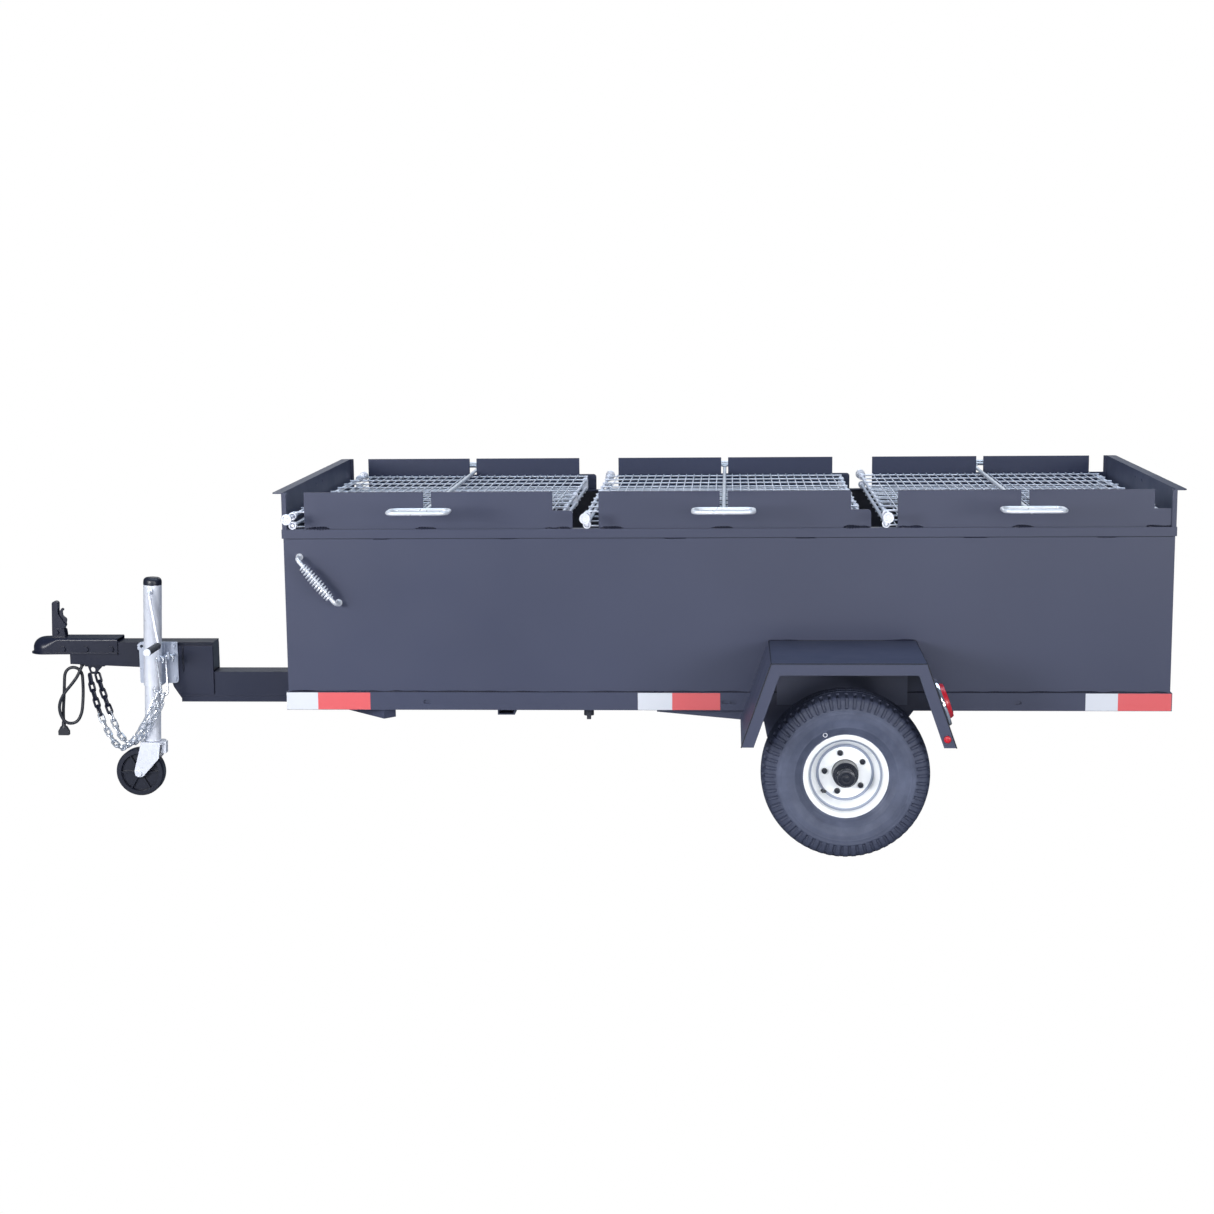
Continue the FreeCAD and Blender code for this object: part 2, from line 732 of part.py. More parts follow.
# ---------------------------------------------------------------- running gear
def tyre(side):
    """Bias-ply trailer tyre with a ribbed tread."""
    centre = V(axle_x, side * wheel_y, axle_z)
    half = tyre_width / 2
    tread = tread_width / 2
    groove = tyre_groove_width
    deep = tyre_radius - tyre_groove_depth
    crown = [(tyre_radius - 5.0, -tread), (tyre_radius - 2.0, -tread * 0.62)]
    for y in (-tread * 0.5, 0.0, tread * 0.5):
        crown += [(tyre_radius - abs(y) * 0.05, y - groove / 2), (deep, y - groove / 2),
                  (deep, y + groove / 2), (tyre_radius - abs(y) * 0.05, y + groove / 2)]
    crown += [(tyre_radius - 2.0, tread * 0.62), (tyre_radius - 5.0, tread)]
    wall_r = rim_flange_radius + 4.0
    bead_r = rim_bead_radius + 0.2
    bead_y = rim_half_width - rim_wall - 3.5
    profile = crown + [(tyre_radius - 16.0, half - 6.0), (tyre_radius - 48.0, half),
                       (wall_r + 22.0, half - 5.0), (wall_r, rim_half_width - 4.0),
                       (bead_r, bead_y), (bead_r, bead_y - 18.0),
                       (tyre_radius - 30.0, half - 22.0), (tyre_radius - 14.0, 0.0),
                       (tyre_radius - 30.0, -half + 22.0), (bead_r, -bead_y + 18.0),
                       (bead_r, -bead_y), (wall_r, -rim_half_width + 4.0),
                       (wall_r + 22.0, -half + 5.0), (tyre_radius - 48.0, -half),
                       (tyre_radius - 16.0, -half + 6.0)]
    return turned(profile, centre, 1)


def bolt_places(side):
    """Centres of the wheel bolts on their circle."""
    places = []
    for n in range(bolt_count):
        angle = math.radians(90 + 14 + 360.0 * n / bolt_count)
        places.append((axle_x + bolt_circle / 2 * math.cos(angle),
                       axle_z + bolt_circle / 2 * math.sin(angle)))
    return places


def wheel_rim(side):
    """Pressed steel rim: flanges, bead seats, drop centre and a recessed disc."""
    centre = V(axle_x, side * wheel_y, axle_z)
    w = rim_half_width
    t = rim_wall
    barrel = [(rim_flange_radius, -w), (rim_flange_radius, -w + t), (rim_bead_radius, -w + t + 3.0),
              (rim_bead_radius - 2.0, -w + 22.0), (rim_well_radius, -w + 34.0), (rim_well_radius, 4.0),
              (rim_bead_radius - 2.0, w - 26.0), (rim_bead_radius, w - t - 3.0),
              (rim_flange_radius, w - t), (rim_flange_radius, w), (rim_bead_radius - t, w),
              (rim_bead_radius - 2.0 - t, w - 26.0), (rim_well_radius - t, 4.0 - t),
              (rim_well_radius - t, -w + 34.0 + t), (rim_bead_radius - 2.0 - t, -w + 22.0),
              (rim_bead_radius - t, -w)]
    shell = turned(barrel, centre, side)
    disc_place = disc_y - wheel_y
    dish = [(hub_barrel_radius + 1.0, disc_place), (rim_well_radius - 16.0, disc_place),
            (rim_well_radius - 8.0, disc_place + 5.0), (rim_well_radius - 2.0, disc_place - 2.0),
            (rim_well_radius - 2.0, disc_place - 6.0), (rim_well_radius - 9.0, disc_place),
            (rim_well_radius - 16.0, disc_place - 4.0), (hub_barrel_radius + 1.0, disc_place - 4.0)]
    disc = turned(dish, centre, side)
    for x, z in bolt_places(side):
        disc = disc.cut(rod(V(x, side * (disc_y + 20), z), V(x, side * (disc_y - 20), z),
                            bolt_radius + free_clearance))
    return joined([shell, disc])


def wheel_hub(side):
    """Cast hub with its grease cap, bored for the spindle."""
    centre = V(axle_x, side * wheel_y, axle_z)
    back = disc_y - wheel_y - 4.0
    tip = hub_end_y - wheel_y
    profile = [(spindle_radius + running_clearance, back - 58.0), (30.0, back - 58.0),
               (30.0, back - hub_flange_wall), (hub_flange_radius, back - hub_flange_wall),
               (hub_flange_radius, back), (hub_barrel_radius, back), (hub_barrel_radius - 2.0, tip - 40.0),
               (hub_cap_radius + 3.0, tip - 34.0), (hub_cap_radius + 3.0, tip - 26.0),
               (hub_cap_radius, tip - 24.0), (hub_cap_radius - 2.0, tip - 3.0), (hub_cap_radius - 8.0, tip),
               (0.0, tip), (0.0, tip - 6.0), (spindle_radius + running_clearance, tip - 6.0)]
    hub = turned(profile, centre, side)
    for x, z in bolt_places(side):
        hub = hub.cut(rod(V(x, side * (disc_y + 10), z), V(x, side * (disc_y - 40), z), bolt_radius))
    return hub


def lug_bolts(side):
    """Five hexagon bolts through the disc into the hub flange."""
    bolts = []
    for x, z in bolt_places(side):
        shank = rod(V(x, side * disc_y, z), V(x, side * (disc_y - 4.0 - hub_flange_wall - 6.0), z),
                    bolt_radius)
        hexagon = [(x + bolt_head_radius * math.cos(math.radians(60 * k)),
                    z + bolt_head_radius * math.sin(math.radians(60 * k))) for k in range(6)]
        low = min(side * disc_y, side * (disc_y + bolt_head_height))
        head = slab(hexagon, "xz", low, low + bolt_head_height)
        bolts.append(joined([shank, head]))
    return bolts


def axle_beam():
    """Square axle tube with a turned spindle at each end."""
    half = axle_beam_side / 2
    end = disc_y - spindle_bare
    beam = box(axle_x - half, axle_x + half, -end, end, axle_z - half, axle_z + half)
    core = box(axle_x - half + 5, axle_x + half - 5, -end + 20, end - 20,
               axle_z - half + 5, axle_z + half - 5)
    pieces = [beam.cut(core)]
    for side in (-1, 1):
        pieces.append(rod(V(axle_x, side * (end - 1), axle_z), V(axle_x, side * (hub_end_y - 7.0), axle_z),
                          spindle_radius))
    return joined(pieces)


def axle_brackets():
    """Tapered carrying plates under the side rails, with a square seat for the axle tube."""
    half = axle_beam_side / 2
    knee = axle_x - bracket_knee
    outline = [(axle_x - bracket_front, rail_bottom_z), (axle_x - bracket_front, rail_bottom_z - bracket_toe),
               (knee, rail_bottom_z - bracket_knee_drop),
               (knee + bracket_toe, rail_bottom_z - 2.2 * bracket_knee_drop, bracket_toe),
               (axle_x - bracket_foot, axle_z - half, 2 * bracket_toe),
               (axle_x + 0.75 * bracket_foot, axle_z - half, 2 * bracket_toe),
               (axle_x + bracket_rear, rail_bottom_z)]
    seat = half + free_clearance
    window = box(axle_x - seat, axle_x + seat, -face_y, face_y, axle_z - seat, axle_z + seat)
    plates = []
    for side in (-1, 1):
        y0 = min(side * (face_y - bracket_inset), side * (face_y - bracket_inset - bracket_wall))
        plates.append(slab(outline, "xz", y0, y0 + bracket_wall).cut(window))
    return plates


def fender(side):
    """Bent plate over the wheel with a lip turned down along its outer edge."""
    def ring(offset):
        slope = math.atan2(fender_top_z - fender_foot_z, fender_half_foot - fender_half_top)
        shift = offset / math.sin(slope)
        corner = offset * (1 / math.sin(slope) - 1 / math.tan(slope))
        foot = fender_half_foot - shift
        top = fender_half_top - corner
        return [(axle_x - foot, fender_foot_z), (axle_x - top, fender_top_z - offset),
                (axle_x + top, fender_top_z - offset), (axle_x + foot, fender_foot_z)]
    inner = face_y - frame_angle_wall
    outer = face_y + fender_width
    low = min(side * inner, side * outer)
    skin = slab(ring(0.0), "xz", low, low + outer - inner)
    hollow = slab(ring(fender_wall), "xz", low - 1, low + outer - inner + 1)
    lip_low = min(side * outer, side * (outer - fender_wall))
    lip = slab(ring(0.0), "xz", lip_low, lip_low + fender_wall)
    lip = lip.cut(slab(ring(fender_lip), "xz", lip_low - 1, lip_low + fender_wall + 1))
    rail = box(box_front, box_rear, -face_y, face_y, rail_bottom_z - 200, rail_top_z)
    return joined([skin.cut(hollow), lip]).cut(rail)


def fender_backings():
    """Flat plates behind the wheels, from the frame up to the fender."""
    plates = []
    for side in (-1, 1):
        low = min(side * face_y, side * (face_y + backing_wall))
        plates.append(box(axle_x - backing_half_width, axle_x + backing_half_width, low,
                          low + backing_wall, backing_bottom_z, fender_top_z - fender_wall))
    return plates


light_base_radius = 68.0
light_base_depth = 12.0
light_lens_radius = 50.0
light_lens_depth = 24.0
light_out = 250.0            # frame face to the lamp's middle
light_up = 110.0             # fender foot to the lamp's middle
marker_radius = 10.0


def leg_frame():
    """Point on the rear leg's outer face at the lamp's height, and the leg's outward normal."""
    rise = fender_top_z - fender_foot_z
    run = fender_half_foot - fender_half_top
    length = math.hypot(rise, run)
    normal = V(rise / length, 0, run / length)
    foot = V(axle_x + fender_half_foot, 0, fender_foot_z)
    up = V(-run / length, 0, rise / length)
    return foot + up * light_up, normal


def tail_light_housings():
    """Round bases on the rear legs of the fenders."""
    point, normal = leg_frame()
    bases = []
    for side in (-1, 1):
        here = point + V(0, side * (face_y + light_out), 0)
        cup = rod(here, here + normal * light_base_depth, light_base_radius)
        recess = rod(here + normal * (light_base_depth - 5.0), here + normal * (light_base_depth + 1.0),
                     light_lens_radius + free_clearance)
        bases.append(cup.cut(recess))
    return bases


def lamp_lenses():
    """Red lenses: a round tail lamp on each base, and a small marker on each lip."""
    point, normal = leg_frame()
    lenses = []
    for side in (-1, 1):
        here = point + V(0, side * (face_y + light_out), 0) + normal * (light_base_depth - 5.0)
        low = rod(here, here + normal * (light_lens_depth - 6.0), light_lens_radius)
        dome = Part.makeCone(light_lens_radius, light_lens_radius - 8.0, 6.0,
                             here + normal * (light_lens_depth - 6.0), normal)
        lenses.append(joined([low, dome]))
        rise = 24.0
        lip_mid = fender_lip / 2
        x = axle_x + fender_half_foot - lip_mid * 1.05 - rise * 0.35
        y = side * (face_y + fender_width)
        lenses.append(rod(V(x, y, fender_foot_z + rise), V(x, y + side * 5.0, fender_foot_z + rise),
                          marker_radius))
    return lenses


# ---------------------------------------------------------------- tongue, coupler and chains
def tongue_head():
    """Upper tongue tube: level top, its underside rising towards the hitch."""
    front = box_front - tongue_nose
    rear = box_front - tongue_tail
    half = tongue_width / 2
    wall = tongue_wall
    top = tongue_top_z
    outer = slab([(front, top - tongue_nose_height), (rear, top - tongue_rear_height), (rear, top),
                  (front, top)], "xz", -half, half)
    inner = slab([(front - 1, top - tongue_nose_height + wall), (rear + 1, top - tongue_rear_height + wall),
                  (rear + 1, top - wall), (front - 1, top - wall)], "xz", -half + wall, half - wall)
    tube = joined([outer.cut(inner), box(rear - tongue_wall, rear, -half + 1, half - 1,
                                         top - tongue_rear_height + 1, top - 1)])
    for x in bolt_line():
        tube = tube.cut(rod(V(x, -60, coupler_bolt_z()), V(x, 60, coupler_bolt_z()), coupler_bolt_radius))
    return tube


def tongue_lower_beam():
    """Lower tongue tube that butts on the frame, with the flat runner bar under it."""
    front = box_front - lower_beam_front
    half = tongue_width / 2
    wall = tongue_wall
    outer = box(front, box_front, -half, half, lower_beam_bottom_z, lower_beam_top_z)
    inner = box(front + wall, box_front, -half + wall, half - wall,
                lower_beam_bottom_z + wall, lower_beam_top_z - wall)
    runner = box(front, box_front + runner_rear, -runner_reach, runner_reach,
                 lower_beam_bottom_z - runner_height, lower_beam_bottom_z)
    return joined([outer.cut(inner), runner])


def tongue_side_plates():
    """Plates at both sides that join the upper tongue tube to the lower one."""
    front = box_front - side_plate_front
    rear = box_front - side_plate_rear
    half = tongue_width / 2
    outline = [(front, tongue_top_z - 11.0), (front, lower_beam_bottom_z + 8.0, side_plate_corner),
               (rear, lower_beam_bottom_z + 8.0), (rear, tongue_top_z - 11.0)]
    plates = []
    for side in (-1, 1):
        low = min(side * half, side * (half + side_plate_wall))
        plates.append(slab(outline, "xz", low, low + side_plate_wall))
    web = slab([(front - 34.0, tongue_top_z - tongue_rear_height + 3.0),
                (front - 20.0, lower_beam_bottom_z + 30.0, 30.0),
                (front + 5.0, lower_beam_bottom_z - 8.0), (front + 6.0, tongue_top_z - 84.0)],
               "xz", -half + 2.0, half - 2.0)
    lower = box(front - 40, box_front, -half, half, lower_beam_bottom_z - runner_height, lower_beam_top_z)
    keep = box(box_front - lower_beam_front, box_front, -half, half, 0, lower_beam_top_z)
    upper = tongue_head_space()
    plates.append(web.cut(keep).cut(upper))
    return plates


def tongue_head_space():
    """The space filled by the upper tongue tube, without its hollow."""
    half = tongue_width / 2
    top = tongue_top_z
    return slab([(box_front - tongue_nose, top - tongue_nose_height),
                 (box_front - tongue_tail, top - tongue_rear_height), (box_front - tongue_tail, top),
                 (box_front - tongue_nose, top)], "xz", -half, half)


def frame_braces():
    """Diagonal braces from the side rails in to the front rail, under the frame."""
    braces = []
    for side in (-1, 1):
        outer_y = side * (face_y - 26.0)
        inner_y = side * (face_y - 26.0 - (brace_end - 30.0))
        direction = V(30.0 - brace_end, inner_y - outer_y, 0)
        direction.normalize()
        across = V(-direction.y, direction.x, 0) * (brace_width / 2)
        start = V(box_front + brace_end, outer_y, rail_bottom_z - brace_height)
        end = V(box_front + 30.0, inner_y, rail_bottom_z - brace_height)
        corners = [start + across, end + across, end - across, start - across, start + across]
        face = Part.Face(Part.makePolygon(corners))
        braces.append(face.extrude(V(0, 0, brace_height)))
    return braces


def coupler_outline(grow, nose_grow):
    """Plan of the coupler: straight sides and a round nose, grown by a margin."""
    half = tongue_width / 2 + coupler_wall + free_clearance
    centre = box_front - coupler_nose_centre
    rear = box_front - coupler_rear
    r = coupler_nose_radius + nose_grow
    a = V(centre, -r, 0)
    b = V(centre - r, 0, 0)
    c = V(centre, r, 0)
    side = half + grow
    edges = [Part.LineSegment(V(rear, -side, 0), V(centre + 50, -side, 0)).toShape(),
             Part.LineSegment(V(centre + 50, -side, 0), a).toShape(),
             Part.Arc(a, b, c).toShape(),
             Part.LineSegment(c, V(centre + 50, side, 0)).toShape(),
             Part.LineSegment(V(centre + 50, side, 0), V(rear, side, 0)).toShape(),
             Part.LineSegment(V(rear, side, 0), V(rear, -side, 0)).toShape()]
    return Part.Face(Part.Wire(edges))


def coupler_top_z():
    """Height of the coupler's top."""
    return tongue_top_z + coupler_lift + coupler_wall


def coupler_section(x, half, corner, low, top):
    """Cross-section of the coupler at a place along it, with rounded top corners."""
    bend = corner * (1 - math.sqrt(0.5))
    edges = [Part.LineSegment(V(x, -half, low), V(x, -half, top - corner)).toShape(),
             Part.Arc(V(x, -half, top - corner), V(x, -half + bend, top - bend),
                      V(x, -half + corner, top)).toShape(),
             Part.LineSegment(V(x, -half + corner, top), V(x, half - corner, top)).toShape(),
             Part.Arc(V(x, half - corner, top), V(x, half - bend, top - bend),
                      V(x, half, top - corner)).toShape(),
             Part.LineSegment(V(x, half, top - corner), V(x, half, low)).toShape(),
             Part.LineSegment(V(x, half, low), V(x, -half, low)).toShape()]
    return Part.Wire(edges)


def coupler_body():
    """Stamped coupler: channel over the tongue, domed nose with the ball socket, lip below."""
    top = coupler_top_z()
    low = top - coupler_side_height - coupler_wall
    half = tongue_width / 2 + coupler_wall + free_clearance
    centre = box_front - coupler_nose_centre
    shoulder = centre + coupler_shoulder
    nose_end = coupler_section(centre, coupler_nose_radius, coupler_dome_radius, low, top)
    channel_end = coupler_section(shoulder, half, coupler_corner, low, top)
    cheeks = Part.makeLoft([nose_end, channel_end], True, True)
    back = Part.Face(channel_end).extrude(V(box_front - coupler_rear - shoulder, 0, 0))
    r, c = coupler_nose_radius, coupler_dome_radius
    bend = c * (1 - math.sqrt(0.5))
    edges = [Part.LineSegment(V(centre, 0, low), V(centre, -r, low)).toShape(),
             Part.LineSegment(V(centre, -r, low), V(centre, -r, top - c)).toShape(),
             Part.Arc(V(centre, -r, top - c), V(centre, -r + bend, top - bend), V(centre, -r + c, top)).toShape(),
             Part.LineSegment(V(centre, -r + c, top), V(centre, 0, top)).toShape(),
             Part.LineSegment(V(centre, 0, top), V(centre, 0, low)).toShape()]
    dome = Part.Face(Part.Wire(edges)).revolve(V(centre, 0, 0), V(0, 0, -1), 180)
    body = joined([dome, cheeks, back])
    lip = coupler_outline(5.0, coupler_lip)
    lip.translate(V(0, 0, low))
    lip = lip.extrude(V(0, 0, coupler_lip_wall))
    body = joined([body, lip])
    half = tongue_width / 2 + free_clearance
    channel = box(centre + 42, box_front - coupler_rear + 1, -half, half, low - 1, top - coupler_wall)
    socket_z = low + socket_above_foot
    r = ball_radius + ball_clearance
    socket = Part.makeSphere(r, V(centre, 0, socket_z))
    mouth = rod(V(centre, 0, low - 1), V(centre, 0, socket_z), r)
    ears = []
    pivot_x = box_front - latch_pivot_x
    for side in (-1, 1):
        y0 = min(side * (latch_width / 2 + 1), side * (latch_width / 2 + 5))
        ears.append(slab([(pivot_x - 15, top - 2), (pivot_x + 27, top - 2), (pivot_x + 24, latch_pivot_z + 11, 9),
                          (pivot_x - 13, latch_pivot_z + 11, 9)], "xz", y0, y0 + 4))
    body = joined([body] + ears)
    pin = rod(V(pivot_x, -40, latch_pivot_z), V(pivot_x, 40, latch_pivot_z), latch_pin_radius)
    body = body.cut(channel).cut(socket).cut(mouth).cut(pin)
    for x in bolt_line():
        body = body.cut(rod(V(x, -60, coupler_bolt_z()), V(x, 60, coupler_bolt_z()), coupler_bolt_radius))
    return body


def bolt_line():
    """Places of the two bolts that hold the coupler on the tongue, and of the nose bolt."""
    return [box_front - place for place in coupler_bolt_places]


def coupler_bolt_z():
    """Height of the coupler's cross bolts."""
    return tongue_top_z - coupler_bolt_drop


def coupler_bolts():
    """Cross bolts with heads and nuts, and the pin that the latch turns on."""
    half = tongue_width / 2 + coupler_wall + free_clearance
    pieces = []
    for x in bolt_line():
        shank = rod(V(x, -half, coupler_bolt_z()), V(x, half, coupler_bolt_z()), coupler_bolt_radius)
        ends = []
        for side in (-1, 1):
            low = min(side * half, side * (half + 6))
            hexagon = [(x + 9 * math.cos(math.radians(60 * k)),
                        coupler_bolt_z() + 9 * math.sin(math.radians(60 * k))) for k in range(6)]
            ends.append(slab(hexagon, "xz", low, low + 6))
        pieces.append(joined([shank] + ends))
    pivot_x = box_front - latch_pivot_x
    pin = rod(V(pivot_x, -22, latch_pivot_z), V(pivot_x, 22, latch_pivot_z), latch_pin_radius)
    head = rod(V(pivot_x, -25, latch_pivot_z), V(pivot_x, -22, latch_pivot_z), latch_pin_radius + 2)
    pieces.append(joined([pin, head]))
    return pieces


def latch_lever():
    """Latch handle of the coupler, standing up and open, with a hole for its pin."""
    px = box_front - latch_pivot_x
    pz = latch_pivot_z
    outline = [(px - 17, pz - 12, 4), (px + 8, pz - 12, 6), (px + 16, pz + 2, 8), (px + 28, pz + 22, 8),
               (px + 4, pz + 58, 26), (px + 6, pz + latch_height, 8), (px - 13, pz + latch_height, 8)]
    half = latch_width / 2
    lever = slab(outline, "xz", -half, half)
    hole = rod(V(px, -half - 1, pz), V(px, half + 1, pz), latch_pin_radius + running_clearance)
    groove = box(px - 1.0, px + 40, -trigger_half() - free_clearance, trigger_half() + free_clearance,
                 pz + 20, pz + 76)
    return lever.cut(hole).cut(groove).cut(trigger_pin_hole())


def trigger_half():
    """Half the trigger's thickness."""
    return 4.0


def trigger_pivot():
    """Place of the trigger's pin in the lever."""
    return box_front - latch_pivot_x + 7.0, latch_pivot_z + 27.0


def trigger_pin_hole():
    """Hole in the lever for the trigger's pin."""
    x, z = trigger_pivot()
    return rod(V(x, -20, z), V(x, 20, z), 2.5 + running_clearance)


def latch_trigger():
    """Finger trigger behind the lever, curled at its top, with its own pin."""
    x, z = trigger_pivot()
    outline = [(x - 4, z - 4, 3), (x + 20, z - 4, 6), (x + 24, z + 14, 9), (x + 11, z + 25, 8),
               (x + 10, z + 38, 5), (x + 17, z + 44, 4), (x + 10, z + 51, 4), (x + 1, z + 38, 8),
               (x + 1, z + 20, 8), (x - 4, z + 8, 3)]
    blade = slab(outline, "xz", -trigger_half(), trigger_half())
    pin = rod(V(x, -latch_width / 2, z), V(x, latch_width / 2, z), 2.5)
    return joined([blade, pin])


def chain_bracket():
    """Plate and V-shaped eye under the tongue that hold the safety chains."""
    x = box_front - chain_bracket_x
    low = tongue_bottom_at(x)
    plate = box(x - 19, x + 44, -24, 24, low - 8, low)
    eye = slab([(x - 17, low - 8), (x + 34, low - 8), (x + 8, low - 36, 8), (x - 8, low - 36, 8)],
               "xz", -4, 4)
    hole = rod(V(x, -6, low - 22), V(x, 6, low - 22), 8.0)
    trim = tongue_head_space()
    return joined([plate, eye.cut(hole)]).cut(trim)


def tongue_bottom_at(x):
    """Height of the upper tube's underside at a place along it."""
    share = (x - (box_front - tongue_nose)) / (tongue_nose - tongue_tail)
    height = tongue_nose_height + (tongue_rear_height - tongue_nose_height) * share
    return tongue_top_z - height


chain_points = {
    -1: [(-751.0, -9.0, 368.0), (-745.0, -11.0, 330.0), (-731.0, -14.0, 276.0),
         (-712.0, -26.0, 226.0), (-681.0, -52.0, 180.0), (-640.0, -90.0, 151.0),
         (-602.0, -128.0, 166.0), (-574.0, -154.0, 192.0), (-547.0, -163.0, 228.0),
         (-523.0, -164.0, 270.0), (-503.0, -158.0, 312.0), (-493.0, -150.0, 344.0)],
    1: [(-732.0, 9.0, 368.0), (-722.0, 7.0, 330.0), (-704.0, 2.0, 276.0),
        (-684.0, -10.0, 228.0), (-657.0, -34.0, 184.0), (-620.0, -66.0, 160.0),
        (-590.0, -98.0, 168.0), (-560.0, -130.0, 192.0), (-528.0, -142.0, 230.0),
        (-503.0, -144.0, 270.0), (-484.0, -142.0, 312.0), (-472.0, -139.0, 348.0)],
}


def chain_route(side):
    """Points of a chain's hanging line, from the eye under the tongue to its hook."""
    return [V(box_front + x, y, z) for x, y, z in chain_points[side]]


def chain_line(side):
    """The smooth hanging line through the route."""
    curve = Part.BSplineCurve()
    curve.interpolate(chain_route(side))
    return curve


def chain_link(centre, along, across):
    """One link: a stadium of round wire, its long way along the chain."""
    half_length = link_inner_length / 2 + link_wire / 2
    half_width = link_inner_width / 2 + link_wire / 2
    straight = half_length - half_width
    path = []
    for end in (1, -1):
        for k in range(4):
            turn = math.pi * (k / 3.0)
            u = end * (straight + half_width * math.sin(turn))
            w = end * half_width * math.cos(turn)
            path.append(centre + along * u + across * w)
    return faceted_tube(path, link_wire / 2, 5, True)


def link_places(side):
    """Centre and direction of every link of one chain."""
    curve = chain_line(side)
    spacing = link_inner_length - link_slack
    count = int(curve.length() / spacing)
    places = []
    for n in range(count):
        where = curve.parameterAtDistance(spacing * (n + 0.5), curve.FirstParameter)
        places.append((curve.value(where), curve.tangent(where)[0]))
    return places


def last_link_hole(side):
    """Point inside the last link where its hook passes."""
    centre, along = link_places(side)[-1]
    return centre + along * (link_inner_length / 2 - hook_wire - 0.5)


def safety_chains():
    """Two welded-link chains, each link turned a quarter against the last."""
    links = []
    for side in (-1, 1):
        places = link_places(side)
        for n, (centre, along) in enumerate(places):
            from_end = len(places) - 1 - n
            flat = V(0, 1, 0).cross(along)
            flat.normalize()
            deep = along.cross(flat)
            tilt = math.radians(90 * (from_end % 2) + 90 - min(45, 15 * from_end))
            across = flat * math.cos(tilt) + deep * math.sin(tilt)
            links.append(chain_link(centre, along, across))
    return links


cable_points = [(-778.0, 0.0, 396.0), (-790.0, -3.0, 366.0), (-812.0, -7.0, 337.0),
                (-838.0, -10.0, 308.0), (-856.0, -10.0, 272.0), (-854.0, -8.0, 237.0),
                (-837.0, -4.0, 208.0), (-804.5, 1.0, 209.0), (-788.0, 6.0, 238.0),
                (-784.0, 10.0, 274.0), (-782.0, 13.0, 310.0), (-782.0, 14.0, 343.0),
                (-783.0, 14.0, 371.0), (-799.5, 14.0, 388.0), (-822.5, 13.0, 388.0),
                (-839.0, 12.0, 371.0), (-841.0, 10.0, 340.0), (-843.0, 9.0, 308.0),
                (-846.0, 8.0, 275.0), (-849.0, 7.0, 243.0), (-849.0, 7.0, 212.0)]


def cable_route():
    """Corners of the cable's route, in millimetres from the front of the box."""
    return [V(box_front + x, y, z) for x, y, z in cable_points]


def cable_path():
    """Straight runs joined by tangent arcs; prints each arc's radius."""
    points = cable_route()
    edges = []
    radii = []
    last = points[0]
    for k in range(1, len(points) - 1):
        before = points[k - 1] - points[k]
        after = points[k + 1] - points[k]
        shorter = min(before.Length, after.Length)
        before.normalize()
        after.normalize()
        turn = math.pi - before.getAngle(after)
        reach = 0.45 * shorter
        radius = reach / math.tan(turn / 2)
        start = points[k] + before * reach
        end = points[k] + after * reach
        bisector = before + after
        bisector.normalize()
        middle = points[k] + bisector * (radius / math.cos(turn / 2) - radius)
        edges.append(Part.LineSegment(last, start).toShape())
        edges.append(Part.Arc(start, middle, end).toShape())
        last = end
        radii.append(round(radius, 1))
    edges.append(Part.LineSegment(last, points[-1]).toShape())
    print("cable radii", radii)
    return Part.Wire(edges)


def wiring_cable():
    """Trailer wiring cable that hangs in a loose loop under the tongue."""
    path = cable_path()
    points = cable_route()
    ring = Part.Wire(Part.Circle(points[0], points[1] - points[0], cable_radius).toShape())
    tube = path.makePipeShell([ring], True, False)
    print("cable length", round(path.Length, 1), "volume check",
          round(tube.Volume / (math.pi * cable_radius ** 2 * path.Length), 4))
    return tube


def cable_grommet():
    """Rubber grommet under the tongue that the cable comes out of."""
    points = cable_route()
    along = points[1] - points[0]
    along.normalize()
    low = points[0]
    high = low - along * 40.0
    cone = Part.makeCone(cable_radius + 2.0, cable_radius + 6.0, 40.0, low, high - low)
    return cone.cut(tongue_head_space()).cut(chain_bracket())


def trailer_plug():
    """Flat four-way moulded plug at the end of the cable, with a tapered neck."""
    end = cable_route()[-1]
    x, y, z = end.x, end.y, end.z
    neck = Part.makeCone(cable_radius + 4.5, cable_radius + 1.0, 18.0, V(x, y, z - 18.0), V(0, 0, 1))
    body = slab([(x - 18, z - 44, 3), (x + 18, z - 44, 3), (x + 18, z - 30, 3), (x + 9, z - 14, 3),
                 (x - 9, z - 14, 3), (x - 18, z - 30, 3)], "xz", y - 6.5, y + 6.5)
    return joined([neck, body])


# ---------------------------------------------------------------- jack
def jack_pivot():
    """Centre of the jack's bracket on the jack axis."""
    return V(box_front - jack_from_box, -jack_axis_out, jack_bracket_z)


def leaned(shape):
    """Tips a piece of the jack about its bracket, so that the foot leans forwards."""
    copy = shape.copy()
    copy.rotate(jack_pivot(), V(0, 1, 0), jack_lean_deg)
    return copy


